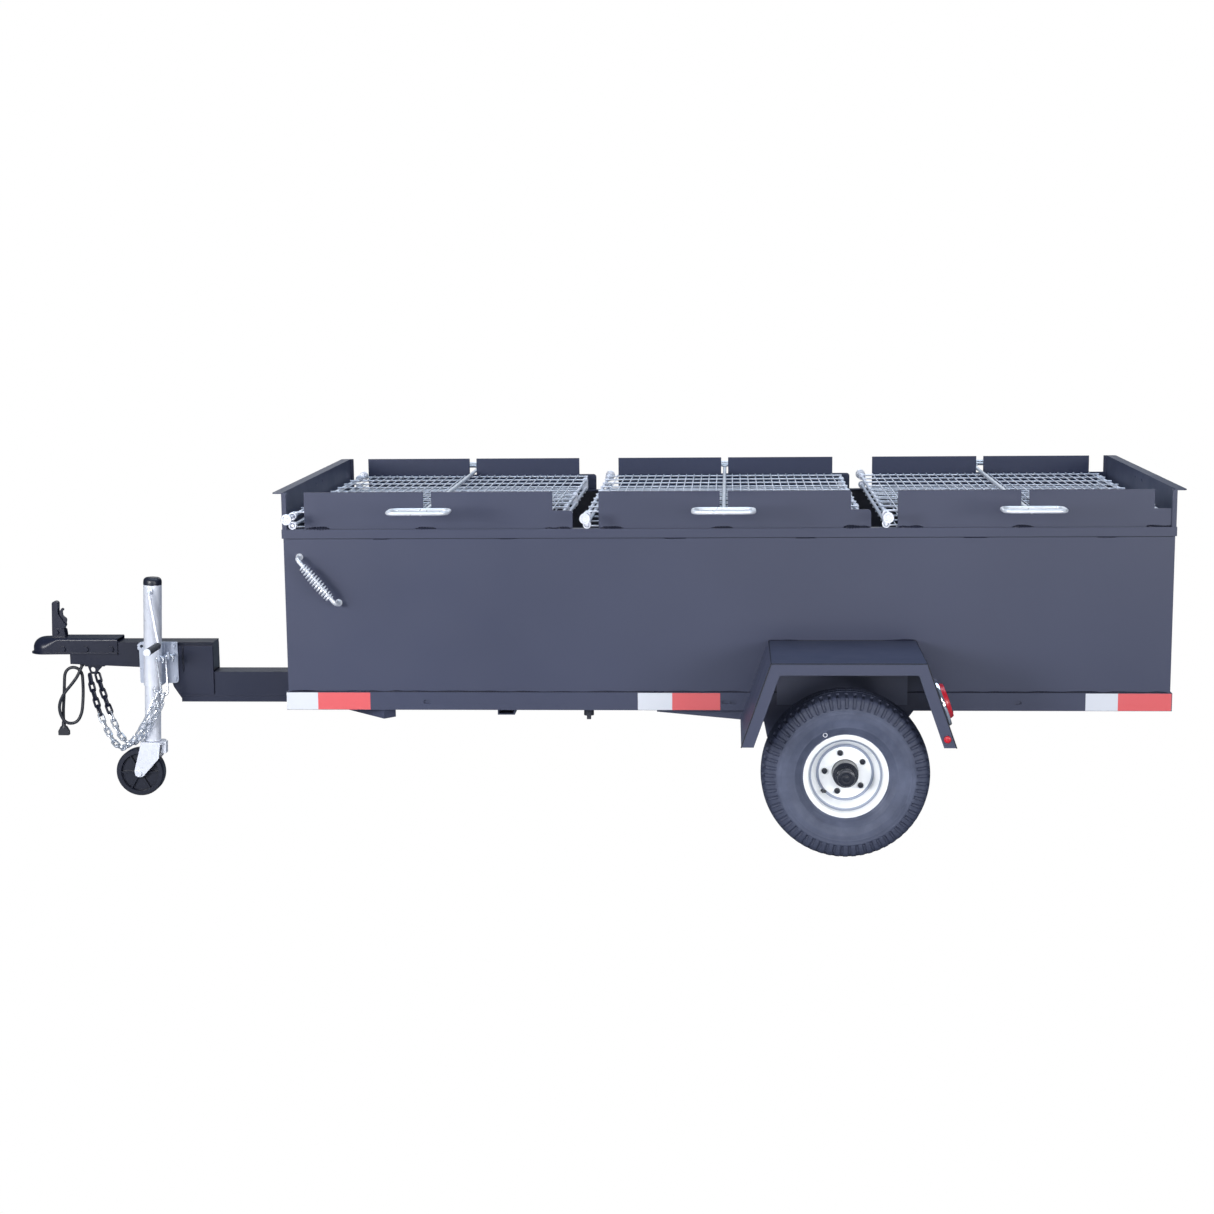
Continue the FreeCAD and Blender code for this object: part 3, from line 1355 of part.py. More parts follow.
def jack_bracket():
    """Bracket of the jack: a bolted back plate, a saddle round the tube, and the hook studs."""
    p = jack_pivot()
    back = -tongue_width / 2
    low, high = p.z - bracket_down, p.z + bracket_up
    plate = slab([(p.x - bracket_left, low, 6), (p.x + bracket_right, low, 12),
                  (p.x + bracket_right, high, 8), (p.x - 30, high), (p.x - 30, high - 24),
                  (p.x - bracket_left, high - 24)], "xz", back - 6, back)
    side_plate = box_front - side_plate_front
    relief = box(side_plate - free_clearance, side_plate + 200, back - side_plate_wall, back, 0, 600)
    plate = plate.cut(relief)
    lap = slab([(p.x + 32, low), (p.x + bracket_right, low, 12), (p.x + bracket_right, high, 8),
                (p.x + 32, high)], "xz", back - 12, back - 6)
    ear = slab([(p.x - bracket_left, low, 4), (p.x - 30, low), (p.x - 30, high - 24),
                (p.x - bracket_left, high - 24)], "xz", back - 12, back - 6)
    tab_x, tab_r = p.x - bracket_left + 8, 13.0
    tab = slab([(tab_x - tab_r, high - 2 * tab_r, 6), (tab_x + tab_r, high - 2 * tab_r),
                (tab_x + tab_r, high, tab_r * 0.99), (tab_x - tab_r, high, tab_r * 0.99)],
               "xz", back - 12, back)
    saddle = box(p.x - 24, p.x + 24, p.y, back - 6, low, high)
    ear_hole = rod(V(tab_x, back - 20, high - tab_r), V(tab_x, back + 1, high - tab_r), 5)
    pieces = [plate, lap, ear, tab, saddle]
    for dx, z in ((-42, low + 16), (54, low + 16), (54, high - 12)):
        hexagon = [(p.x + dx + 8 * math.cos(math.radians(60 * k)),
                    z + 8 * math.sin(math.radians(60 * k))) for k in range(6)]
        pieces.append(slab(hexagon, "xz", back - 18, back - 12))
    for side in (-1, 1):
        x, z = hook_stud(side)
        end = hook_stud_end(side)
        pieces.append(rod(V(x, back - 6, z), V(x, end, z), hook_stud_radius))
        pieces.append(rod(V(x, end, z), V(x, end, z + hook_stud_rise), hook_stud_radius))
        pieces.append(Part.makeSphere(hook_stud_radius, V(x, end, z)))
    body = joined(pieces).cut(ear_hole)
    bore = rod(V(p.x, p.y, p.z - 120), V(p.x, p.y, p.z + 120), jack_tube_radius)
    return body.cut(leaned(bore))


def jack_outer_tube():
    """Outer jack tube with its crank bearing."""
    p = jack_pivot()
    bottom = V(p.x, p.y, jack_outer_bottom_z)
    top = V(p.x, p.y, jack_top_z - jack_cap_height)
    tube = pipe(bottom, top, jack_tube_radius, jack_tube_radius - jack_tube_wall)
    face = p.y - jack_tube_radius
    boss = rod(V(p.x, face + 3, crank_z), V(p.x, face - 8, crank_z), 11)
    hole = rod(V(p.x, p.y, crank_z), V(p.x, p.y - 60, crank_z), crank_rod_radius + running_clearance)
    return leaned(joined([tube, boss]).cut(hole))


def jack_cap():
    """Domed plastic cap on the jack."""
    p = jack_pivot()
    low = jack_top_z - jack_cap_height
    cap = rod(V(p.x, p.y, low), V(p.x, p.y, jack_top_z), jack_tube_radius + 0.5)
    rim = [e for e in cap.Edges if abs(e.BoundBox.ZMin - jack_top_z) < 0.01]
    cap = cap.makeFillet(9.0, rim)
    plug = rod(V(p.x, p.y, low - 10), V(p.x, p.y, low), jack_tube_radius - jack_tube_wall - 0.3)
    return leaned(joined([cap, plug]))


def jack_crank():
    """Crank arm of bent rod, hanging down beside the jack."""
    p = jack_pivot()
    start = V(p.x, p.y - 12, crank_z)
    knee = V(p.x, p.y - jack_tube_radius - 20, crank_z)
    end = V(p.x + crank_offset, knee.y, crank_z - crank_length)
    tail = V(end.x, end.y - crank_grip_length - 14, end.z)
    pieces = [rod(start, knee, crank_rod_radius), Part.makeSphere(crank_rod_radius, knee),
              rod(knee, end, crank_rod_radius), Part.makeSphere(crank_rod_radius, end),
              rod(end, tail, crank_rod_radius),
              rod(tail + V(0, 4, 0), tail - V(0, 3, 0), crank_rod_radius + 4)]
    return leaned(joined(pieces))


def crank_grip():
    """Plastic sleeve on the crank's end."""
    p = jack_pivot()
    y0 = p.y - jack_tube_radius - 20 - 10
    x = p.x + crank_offset
    z = crank_z - crank_length
    sleeve = pipe(V(x, y0, z), V(x, y0 - crank_grip_length, z), crank_grip_radius, crank_rod_radius)
    return leaned(sleeve)


def jack_inner_tube():
    """Inner jack tube that carries the caster, with the lug for its pin."""
    p = jack_pivot()
    low = V(p.x, p.y, jack_foot_z)
    high = V(p.x, p.y, jack_inner_top_z)
    tube = pipe(low, high, jack_inner_radius, jack_inner_radius - 3.0)
    foot = rod(low, V(p.x, p.y, jack_foot_z + 10), jack_inner_radius)
    lug = box(p.x - jack_inner_radius - 12, p.x - jack_inner_radius + 2, p.y - 10, p.y + 10,
              jack_foot_z + 30, jack_foot_z + 56)
    lug = lug.cut(rod(V(p.x, p.y, jack_foot_z), V(p.x, p.y, jack_foot_z + 70), jack_inner_radius - 1.0))
    stem_hole = rod(V(p.x, p.y, jack_foot_z - 1), V(p.x, p.y, jack_foot_z + 30), 8.0 + running_clearance)
    return leaned(joined([tube, foot, lug]).cut(stem_hole))


def caster_axle():
    """Centre of the caster wheel, which stands on the ground."""
    foot = jack_pivot()
    lean = math.radians(jack_lean_deg)
    drop = jack_bracket_z - caster_radius
    x = foot.x - drop * math.tan(lean) - caster_trail
    return V(x, foot.y, caster_radius)


def caster_fork():
    """Swivel fork: a crown plate with two raked cheeks, the stem, and the wheel's bolt."""
    p = jack_pivot()
    lean = math.radians(jack_lean_deg)
    axle = caster_axle()
    axle.x, axle.z = unlean(axle)
    crown_z = jack_foot_z - 8.0
    half = caster_width / 2 + 5.0
    crown = slab([(p.x - 34, p.y - half - fork_wall, 10), (p.x + 36, p.y - half - fork_wall, 10),
                  (p.x + 36, p.y + half + fork_wall, 10), (p.x - 34, p.y + half + fork_wall, 10)],
                 "xy", crown_z, crown_z + 6.0)
    stem = rod(V(p.x, p.y, crown_z), V(p.x, p.y, jack_foot_z + 28), 8.0)
    cheek = [(p.x - 30, crown_z + 6.0), (axle.x - 14, axle.z + 4, 12), (axle.x - 4, axle.z - 15, 12),
             (axle.x + 14, axle.z - 10, 12), (p.x + 26, crown_z - 44, 14), (p.x + 30, crown_z + 6.0)]
    pieces = [crown, stem]
    for side in (-1, 1):
        low = p.y + min(side * half, side * (half + fork_wall))
        pieces.append(slab(cheek, "xz", low, low + fork_wall))
    lock = box(p.x + 30, p.x + 44, p.y - 12, p.y + 12, crown_z - 30, crown_z + 6)
    pieces.append(lock)
    pieces.append(rod(V(axle.x, p.y - half - fork_wall - 6, axle.z), V(axle.x, p.y + half + fork_wall + 6, axle.z),
                      caster_bore - running_clearance))
    for side in (-1, 1):
        y = p.y + side * (half + fork_wall)
        pieces.append(rod(V(axle.x, y, axle.z), V(axle.x, y + side * 6, axle.z), 10.0))
    return leaned(joined(pieces))


def unlean(point):
    """Where a point of the leaned jack lies before it is leaned."""
    p = jack_pivot()
    turn = FreeCAD.Rotation(V(0, 1, 0), -jack_lean_deg)
    back = p + turn.multVec(point - p)
    return back.x, back.z


def caster_wheel():
    """Moulded wheel with a recessed web and six ribs on each face."""
    centre = caster_axle()
    half = caster_width / 2
    profile = [(caster_bore, -half), (17.0, -half), (19.0, -8.0), (58.0, -8.0), (60.0, -half + 3.0),
               (caster_radius - 4.0, -half + 3.0), (caster_radius, -half + 10.0),
               (caster_radius, half - 10.0), (caster_radius - 4.0, half - 3.0), (60.0, half - 3.0),
               (58.0, 8.0), (19.0, 8.0), (17.0, half), (caster_bore, half)]
    wheel = turned(profile, centre, 1)
    ribs = []
    for n in range(6):
        rib = box(centre.x + 16, centre.x + 60, centre.y - half + 6, centre.y + half - 6,
                  centre.z - 2, centre.z + 2)
        rib.rotate(centre, V(0, 1, 0), 60 * n)
        ribs.append(rib)
    return joined([wheel] + ribs)


def chain_hooks():
    """S-hooks at the ends of the chains, hung on the studs of the jack's bracket."""
    hooks = []
    for side in (-1, 1):
        stud_x, stud_z = hook_stud(side)
        arc = hook_loop_inner + hook_wire
        loop_y = hook_stud_end(side) + hook_stud_radius + hook_wire + 1.0
        top = V(stud_x, loop_y, stud_z + hook_stud_radius - hook_loop_inner + 0.9)
        target = last_link_hole(side)
        down = target - top
        down.normalize()
        low = target - down * arc
        path = []
        for k in range(6):
            turn = math.radians(-30 + 210 * k / 5.0)
            path.append(top + V(0, 0, arc * math.sin(turn)) + V(arc * math.cos(turn), 0, 0))
        for k in range(7):
            turn = math.radians(210 * k / 6.0)
            path.append(low + down * (arc * math.sin(turn)) + V(arc * math.cos(turn), 0, 0))
        hooks.append(faceted_tube(path, hook_wire, 5, False))
    return hooks


hook_wire = 3.2
hook_loop_inner = 8.0
hook_stud_radius = 4.5
hook_stud_rise = 20.0


def hook_stud(side):
    """Place of a hook's stud on the jack's bracket."""
    return box_front - 474.0 + 10.5 * side, jack_bracket_z + 12.0


def hook_stud_end(side):
    """How far a stud stands out from the bracket before it turns up."""
    return -tongue_width / 2 - 99.0 + 17.0 * side


# ---------------------------------------------------------------- reflective tape
tape_white = [92.0, 99.0, 91.0]
tape_red = [153.0, 138.0, 150.0]
tape_before_middle = 248.0     # middle of the box to the start of the middle strip
tape_short_of_end = 2.0
tape_starts = [0.0, box_length / 2 - tape_before_middle,
               box_length - tape_short_of_end - tape_white[2] - tape_red[2]]


def reflective_tape():
    """Red and white conspicuity tape on both side rails, in three places."""
    strips = []
    low = rail_bottom_z + (frame_angle_leg - tape_height) / 2
    for start, white, red in zip(tape_starts, tape_white, tape_red):
        for side in (-1, 1):
            y0 = min(side * face_y, side * (face_y + tape_thickness))
            x = box_front + start
            strips.append(box(x, x + white, y0, y0 + tape_thickness, low, low + tape_height))
            strips.append(box(x + white, x + white + red, y0, y0 + tape_thickness, low,
                              low + tape_height))
    return strips


# ---------------------------------------------------------------- write every node
save("frame_rails", frame_rails())
save("cross_members", cross_members())
save("firebox_shell", firebox_shell())
save("drain_plug", [drain_plug()])
save("top_rim", top_rim())
save("front_guards", guards(-1))
save("back_guards", guards(1))
save("end_panel_left", [end_panel(-1)])
save("end_panel_right", [end_panel(1)])
save("fire_grates", fire_grates())
save("grab_handle", [grab_handle()])
save("handle_coil", [handle_coil()])

for number, section in enumerate(section_middles, start=1):
    save("lower_grate_%d" % number, lower_grate(section))
    save("upper_grate_%d" % number, upper_grate(section))
    save("spit_shaft_%d" % number, spit_shaft(section))

for word, hand in (("left", -1), ("right", 1)):
    save("tyre_" + word, [tyre(hand)])
    save("wheel_rim_" + word, [wheel_rim(hand)])
    save("wheel_hub_" + word, [wheel_hub(hand)])
    save("lug_bolts_" + word, lug_bolts(hand))
    save("fender_" + word, [fender(hand)])

save("axle_beam", [axle_beam()])
save("axle_brackets", axle_brackets())
save("fender_backings", fender_backings())
save("tail_light_housings", tail_light_housings())
save("lamp_lenses", lamp_lenses())
save("tongue_head", [tongue_head()])
save("tongue_lower_beam", [tongue_lower_beam()])
save("tongue_side_plates", tongue_side_plates())
save("frame_braces", frame_braces())
save("coupler_body", [coupler_body()])
save("coupler_bolts", coupler_bolts())
save("latch_lever", [latch_lever()])
save("latch_trigger", [latch_trigger()])
save("chain_bracket", [chain_bracket()])
save("safety_chains", safety_chains())
save("chain_hooks", chain_hooks())
save("wiring_cable", [wiring_cable()])
save("cable_grommet", [cable_grommet()])
save("trailer_plug", [trailer_plug()])
save("jack_bracket", [jack_bracket()])
save("jack_outer_tube", [jack_outer_tube()])
save("jack_cap", [jack_cap()])
save("jack_crank", [jack_crank()])
save("crank_grip", [crank_grip()])
save("jack_inner_tube", [jack_inner_tube()])
save("caster_fork", [caster_fork()])
save("caster_wheel", [caster_wheel()])
save("reflective_tape", reflective_tape())
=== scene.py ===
import json
import math
import bpy
import numpy as np
from mathutils import Matrix, Vector


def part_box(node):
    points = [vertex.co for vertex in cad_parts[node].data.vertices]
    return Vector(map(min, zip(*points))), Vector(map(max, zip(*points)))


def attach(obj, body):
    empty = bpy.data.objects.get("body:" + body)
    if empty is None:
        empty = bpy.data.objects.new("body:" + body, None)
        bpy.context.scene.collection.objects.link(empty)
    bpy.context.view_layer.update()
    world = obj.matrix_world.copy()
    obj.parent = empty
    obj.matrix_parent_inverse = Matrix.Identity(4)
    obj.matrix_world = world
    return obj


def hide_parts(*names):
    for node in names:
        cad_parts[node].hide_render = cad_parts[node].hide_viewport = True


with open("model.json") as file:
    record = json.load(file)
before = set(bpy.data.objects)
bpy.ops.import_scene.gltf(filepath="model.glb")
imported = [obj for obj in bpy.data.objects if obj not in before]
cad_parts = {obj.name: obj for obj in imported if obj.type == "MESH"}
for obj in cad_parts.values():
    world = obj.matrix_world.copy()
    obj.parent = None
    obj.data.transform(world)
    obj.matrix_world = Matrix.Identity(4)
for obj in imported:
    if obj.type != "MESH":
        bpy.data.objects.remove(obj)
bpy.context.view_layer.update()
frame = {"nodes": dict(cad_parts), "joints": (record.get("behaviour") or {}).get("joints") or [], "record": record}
rng = np.random.default_rng(11)
joints = {j["name"]: j for j in frame["joints"]}
tau = 2 * math.pi
pole = 1e-5  # the radius that closes a turned shape on its own axis


def corners(node):  # lowest and highest corner of a node, as two arrays in metres
    low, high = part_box(node)
    return np.array(low), np.array(high)


rails = corners("frame_rails")
rim = corners("top_rim")
shell = corners("firebox_shell")
boxFront, faceY = rails[0][0], rails[1][1]
axleX = joints["wheel_spin_left"]["pos_m"][0]

# camera: placed where the fit of the box's corners, the wheel and the fender puts it
view = {"place": (boxFront + 1.2865, -6.4835, 1.6156), "yaw": 0.0591, "pitch": 0.1575, "roll": -0.0102,
        "lens": 62.27, "sensor": 36.0}
camData = bpy.data.cameras.new("camera")
camData.lens = view["lens"]
camData.sensor_width = view["sensor"]
camera = bpy.data.objects.new("camera", camData)
bpy.context.scene.collection.objects.link(camera)
cosPitch = math.cos(view["pitch"])
ahead = Vector((-math.sin(view["yaw"]) * cosPitch, math.cos(view["yaw"]) * cosPitch,
                -math.sin(view["pitch"])))
right = Vector((math.cos(view["yaw"]), math.sin(view["yaw"]), 0))
over = right.cross(ahead)
turned = right * math.cos(view["roll"]) + over * math.sin(view["roll"])
over = turned.cross(ahead)
camera.matrix_world = Matrix((turned, over, -ahead)).transposed().to_4x4()
camera.location = view["place"]
bpy.context.scene.camera = camera

scene = bpy.context.scene
scene.view_settings.view_transform = "Standard"
scene.view_settings.look = "None"
print("camera set")


class Shader:
    # a material or the world built in steps: each call adds one node and links what it is given
    def __init__(self, name, world=None):
        self.material = world or bpy.data.materials.new(name)
        self.material.use_nodes = True
        self.nodes = self.material.node_tree.nodes
        self.links = self.material.node_tree.links
        self.skin = self.nodes["Background" if world else "Principled BSDF"]

    def add(self, kind, ins=None, **settings):
        node = self.nodes.new(kind)
        for key, value in settings.items():
            setattr(node, key, value)
        for key, value in (ins or {}).items():
            self.put(node, key, value)
        return node

    def put(self, node, key, value):
        if isinstance(value, bpy.types.NodeSocket):
            self.links.new(value, node.inputs[key])
        else:
            node.inputs[key].default_value = value

    def set(self, **values):
        for key, value in values.items():
            self.put(self.skin, key.replace("_", " "), value)

    def noise(self, scale, detail=3.0, rough=0.5):
        coords = self.add("ShaderNodeTexCoord").outputs["Object"]
        return self.add("ShaderNodeTexNoise", {"Vector": coords, "Scale": scale, "Detail": detail,
                                               "Roughness": rough}).outputs["Fac"]

    def ramp(self, fac, low, high, dark, light):
        return self.add("ShaderNodeMapRange", {"Value": fac, "From Min": low, "From Max": high,
                                               "To Min": dark, "To Max": light}).outputs["Result"]

    def mix(self, fac, one, two):
        return self.add("ShaderNodeMix", {0: fac, 6: one, 7: two}, data_type="RGBA").outputs[2]

    def bump(self, height, distance, strength):
        node = self.add("ShaderNodeBump", {"Height": height, "Distance": distance, "Strength": strength})
        self.set(Normal=node.outputs[0])


def rgba(r, g, b):
    return (r, g, b, 1.0)


def paintShader(name, base, rough, spread):  # powder coat: faint orange peel and soft tone changes
    s = Shader(name)
    broad = s.noise(1.7, 2.0)
    dark = rgba(*[c * (1 - spread) for c in base])
    light = rgba(*[c * (1 + spread) for c in base])
    s.set(Base_Color=s.mix(s.ramp(broad, 0.35, 0.65, 0, 1), dark, light))
    s.set(Roughness=s.ramp(s.noise(9.0, 3.0), 0.3, 0.7, rough - 0.04, rough + 0.04))
    s.set(Specular_IOR_Level=0.34)
    s.bump(s.noise(420.0, 2.0), 0.00006, 0.6)
    return s.material


def metalShader(name, base, rough, grain, metallic=1.0, spots=0.0):  # bare or plated metal
    s = Shader(name)
    broad = s.noise(grain, 4.0)
    dark = rgba(*[c * 0.92 for c in base])
    s.set(Base_Color=s.mix(s.ramp(broad, 0.3, 0.7, 0, 1), dark, rgba(*base)))
    s.set(Metallic=metallic)
    s.set(Roughness=s.ramp(s.noise(grain * 2.1, 3.0), 0.25, 0.75, rough - 0.04, rough + 0.05))
    if spots:
        s.bump(s.noise(grain * 3, 3.0), 0.0002, spots)
    return s.material


def plainShader(name, base, rough, metallic=0.0, bump=None):  # one even colour, rough where bump is given
    s = Shader(name)
    s.set(Base_Color=rgba(*base), Roughness=rough, Metallic=metallic)
    if bump:
        s.bump(s.noise(bump[0], 3.0), bump[1], 0.7)
    return s.material


paint = paintShader("body_paint", (0.049, 0.056, 0.097), 0.42, 0.04)
# near-black for the weld beads: painted shade in the gaps along the welds
weldShadePaint = paintShader("weld_paint", (0.010, 0.012, 0.026), 0.30, 0.3)
# a darker copy of the body paint for the back guards: painted shade
guardPaintedShade = paintShader("guard_paint", (0.028, 0.037, 0.080), 0.42, 0.04)
blackPaint = paintShader("tongue_paint", (0.010, 0.012, 0.026), 0.32, 0.08)
middlePaint = paintShader("side_plate_paint", (0.021, 0.025, 0.050), 0.36, 0.04)
# near-black for thin lines at folds and seams: painted shade
lineShade = plainShader("line_dark", (0.006, 0.008, 0.016), 0.6)
# a lighter copy of the body paint for the fender backings: painted light
backingLitPaint = paintShader("backing_paint", (0.100, 0.112, 0.175), 0.42, 0.04)
zinc = metalShader("zinc", (0.88, 0.90, 0.98), 0.30, 38.0, 0.28, 0.15)
chainZinc = metalShader("chain_zinc", (0.84, 0.87, 0.93), 0.24, 60.0, 0.8, 0.15)
stainless = metalShader("stainless", (0.80, 0.82, 0.90), 0.34, 40.0, 0.4)
brightBar = metalShader("bright_bar", (0.86, 0.88, 0.93), 0.30, 40.0, 0.45)
firedSteel = metalShader("fired_steel", (0.028, 0.030, 0.044), 0.6, 24.0, 0.2, 0.3)
silver = metalShader("rim_silver", (0.96, 0.98, 1.0), 0.30, 6.0, 0.0)
chrome = plainShader("chrome", (0.85, 0.86, 0.88), 0.08, 1.0)
darkIron = plainShader("dark_iron", (0.020, 0.023, 0.034), 0.26, 0.2, (160.0, 0.0001))
ringShade = plainShader("ring_shade", (0.34, 0.38, 0.48), 0.4)
bracketZinc = metalShader("bracket_zinc", (0.52, 0.56, 0.66), 0.30, 38.0, 0.28, 0.15)
blackPlastic = plainShader("black_plastic", (0.011, 0.013, 0.025), 0.36, 0.0, (500.0, 0.00005))
rubber = plainShader("cord_rubber", (0.014, 0.016, 0.024), 0.45)
gripRubber = plainShader("grip_rubber", (0.045, 0.047, 0.056), 0.55)


def tyreShader():  # dull rubber, darker from the shoulder outwards by the distance from the hub: painted shade on the shoulder and tread
    s = Shader("tyre_rubber")
    tone = s.ramp(s.noise(14.0, 5.0, 0.6), 0.35, 0.7, 0, 1)
    wall = s.mix(tone, rgba(0.050, 0.060, 0.102), rgba(0.090, 0.106, 0.168))
    hub = joints["wheel_spin_left"]["pos_m"]
    coords = s.add("ShaderNodeTexCoord").outputs["Object"]
    flat = s.add("ShaderNodeVectorMath", {0: coords, 1: (-hub[0], 0.0, -hub[2])}, operation="ADD").outputs[0]
    flat = s.add("ShaderNodeVectorMath", {0: flat, 1: (1.0, 0.0, 1.0)}, operation="MULTIPLY").outputs[0]
    reach = s.add("ShaderNodeVectorMath", {0: flat}, operation="LENGTH").outputs["Value"]
    # the outer band is coloured darker: painted shade on the shoulder and tread
    s.set(Base_Color=s.mix(s.ramp(reach, 0.186, 0.200, 0, 1), wall, rgba(0.036, 0.044, 0.080)))
    s.set(Roughness=s.ramp(s.noise(30.0), 0.3, 0.7, 0.52, 0.68))
    s.bump(s.noise(190.0, 4.0), 0.00018, 0.7)
    return s.material


def lensShader():  # moulded red plastic with light inside it
    s = Shader("red_lens")
    s.set(Base_Color=rgba(0.50, 0.008, 0.022), Roughness=0.30, Coat_Weight=0.15, Coat_Roughness=0.1)
    s.set(Subsurface_Weight=0.15, Subsurface_Scale=0.01)
    return s.material


def filmShader(name, base):  # retroreflective film: pale lines between small cells
    s = Shader(name)
    coords = s.add("ShaderNodeTexCoord").outputs["Object"]
    cells = s.add("ShaderNodeTexVoronoi", {"Vector": coords, "Scale": 260.0, "Randomness": 0.15},
                  feature="DISTANCE_TO_EDGE").outputs["Distance"]
    line = s.ramp(cells, 0.02, 0.08, 0.86, 1.0)
    s.set(Base_Color=s.mix(line, rgba(*[c * 0.8 for c in base]), rgba(*base)))
    s.set(Roughness=0.28, Coat_Weight=0.5, Coat_Roughness=0.12)
    return s.material


tyreRubber = tyreShader()
redLens = lensShader()
filmRed = filmShader("film_red", (0.70, 0.110, 0.118))
filmWhite = filmShader("film_white", (0.66, 0.68, 0.74))

slotLooks = {"body_paint": paint, "tongue_black": blackPaint, "galvanised": zinc, "stainless": stainless,
             "raw_steel": firedSteel, "black_plastic": blackPlastic, "soft_rubber": rubber,
             "tyre_rubber": tyreRubber, "rim_silver": silver, "hub_paint": darkIron,
             "plated_bolts": darkIron, "lamp_chrome": chrome, "red_lens": redLens, "tape_red": filmRed}
for part in frame["record"]["subparts"]:
    for place in frame["nodes"][part["node"]].material_slots:
        place.link = "OBJECT"
        place.material = slotLooks[part["material_slot"]]
# the back guards take a darker copy of the body paint: painted shade
for node, look in (("tongue_head", blackPaint), ("back_guards", guardPaintedShade), ("jack_bracket", bracketZinc),
                   ("tongue_side_plates", middlePaint), ("tongue_lower_beam", middlePaint),
                   # the fender backings take a lighter copy of the body paint: painted light
                   ("fender_backings", backingLitPaint)):
    for place in frame["nodes"][node].material_slots:
        place.material = look
print("materials set")


# mesh helpers: each returns (points, quads), and piece() joins such pairs
def gridQuads(rows, cols, closeRows=False):
    # faces between each point of a grid and its next ones; every row closes on itself
    r = np.arange(rows if closeRows else rows - 1)[:, None]
    c = np.arange(cols)[None, :]
    up, over = (r + 1) % rows, (c + 1) % cols
    return np.stack([r * cols + c, r * cols + over, up * cols + over, up * cols + c], -1).reshape(-1, 4)


def unit(v):  # a vector, or each row of an array, divided by its length
    v = np.asarray(v, float)
    return v / np.maximum(np.linalg.norm(v, axis=-1, keepdims=True), 1e-12)


def running(points):  # the length run up to each point of a line
    return np.concatenate([[0], np.cumsum(np.linalg.norm(np.diff(points, axis=0), axis=1))])


def tube(path, radius, sides=12, closed=False, caps=True, up=(0, 0, 1)):
    # a bar along a path: rings of points square to it, its frame carried on without twist
    path = np.asarray(path, float)
    if not closed and caps:
        nudge = unit(path[[1, -2]] - path[[0, -1]]) * 1e-5
        path = np.vstack([path[0], path[0] + nudge[0], path[1:-1], path[-1] + nudge[1], path[-1]])
        radius = np.broadcast_to(radius, len(path) - 2)
        radius = np.concatenate([[1e-6], radius, [1e-6]])
    radius = np.broadcast_to(radius, len(path))
    along = np.roll(path, -1, 0) - np.roll(path, 1, 0) if closed else np.gradient(path, axis=0)
    along = unit(along)
    lift = np.empty_like(path)
    carried = np.array(up, float) if abs(np.dot(unit(up), along[0])) < 0.95 else np.array((0, 1.0, 0.1))
    for k, d in enumerate(along):
        carried = unit(carried - d * np.dot(carried, d))
        lift[k] = carried
    side = np.cross(along, lift)
    turn = tau * np.arange(sides) / sides
    ring = (np.cos(turn)[None, :, None] * side[:, None, :]
            + np.sin(turn)[None, :, None] * lift[:, None, :])
    points = path[:, None, :] + ring * radius[:, None, None]
    return points.reshape(-1, 3), gridQuads(len(path), sides, closed)


def bar(start, end, radius, sides=12, soft=0.15):  # a straight round bar with softened ends
    start, end = np.asarray(start, float), np.asarray(end, float)
    d = unit(end - start)
    cut = radius * soft
    path = np.array([start, start, start + d * cut, end - d * cut, end, end])
    radii = [1e-6, radius - cut, radius, radius, radius - cut, 1e-6]
    return tube(path + np.outer(np.arange(6), d) * 1e-7, radii, sides, caps=False)


def lathe(profile, centre, axis=(0, 1, 0), segments=72, closed=False, warp=None):
    # a turned shape: profile points (radius, distance along the axis) swept round it
    profile = np.asarray(profile, float)
    axis = unit(axis)
    u = unit(np.cross(axis, (0, 0, 1.0) if abs(axis[2]) < 0.9 else (1.0, 0, 0)))
    v = np.cross(axis, u)
    turn = tau * np.arange(segments) / segments
    radius = np.broadcast_to(profile[:, :1], (len(profile), segments)).copy()
    reach = np.broadcast_to(profile[:, 1:2], (len(profile), segments)).copy()
    if warp:
        radius, reach = warp(radius, reach, turn[None, :])
    spoke = np.cos(turn)[None, :, None] * u + np.sin(turn)[None, :, None] * v
    points = np.asarray(centre, float) + radius[..., None] * spoke + reach[..., None] * axis
    return points.reshape(-1, 3), gridQuads(len(profile), segments, closed)


def rounded(outline, steps=6):
    # plain points from (u, v, radius) corners: each corner becomes an arc that touches both its sides
    out = []
    for k, (u, v, r) in enumerate(outline):
        here = np.array((u, v))
        back = unit(np.array(outline[k - 1][:2]) - here)
        on = unit(np.array(outline[(k + 1) % len(outline)][:2]) - here)
        if r <= 0:
            out.append(here)
            continue
        half = math.acos(max(-1.0, min(1.0, float(np.dot(back, on))))) / 2
        centre = here + unit(back + on) * (r / math.sin(half))
        a, b = here + back * (r / math.tan(half)) - centre, here + on * (r / math.tan(half)) - centre
        for t in np.linspace(0, 1, steps + 1):
            out.append(centre + unit(a * (1 - t) + b * t) * r)
    return np.array(out)


def plate(outline, low, high, bevel, steps=6):
    # an outline in x and z given a thickness along y: its edges softened, its faces closed to its middle
    flat = rounded(outline, steps)
    middle = (flat.max(0) + flat.min(0)) / 2
    reach = np.linalg.norm(flat - middle, axis=1, keepdims=True)
    inner = middle + (flat - middle) * (1 - bevel / np.maximum(reach, bevel * 2))
    speck = middle + (flat - middle) * 1e-4
    rows = [(speck, low), (inner, low), (flat, low + bevel),
            (flat, high - bevel), (inner, high), (speck, high)]
    points = np.concatenate([np.column_stack([p[:, 0], np.full(len(p), y), p[:, 1]]) for p, y in rows])
    return points, gridQuads(len(rows), len(flat))


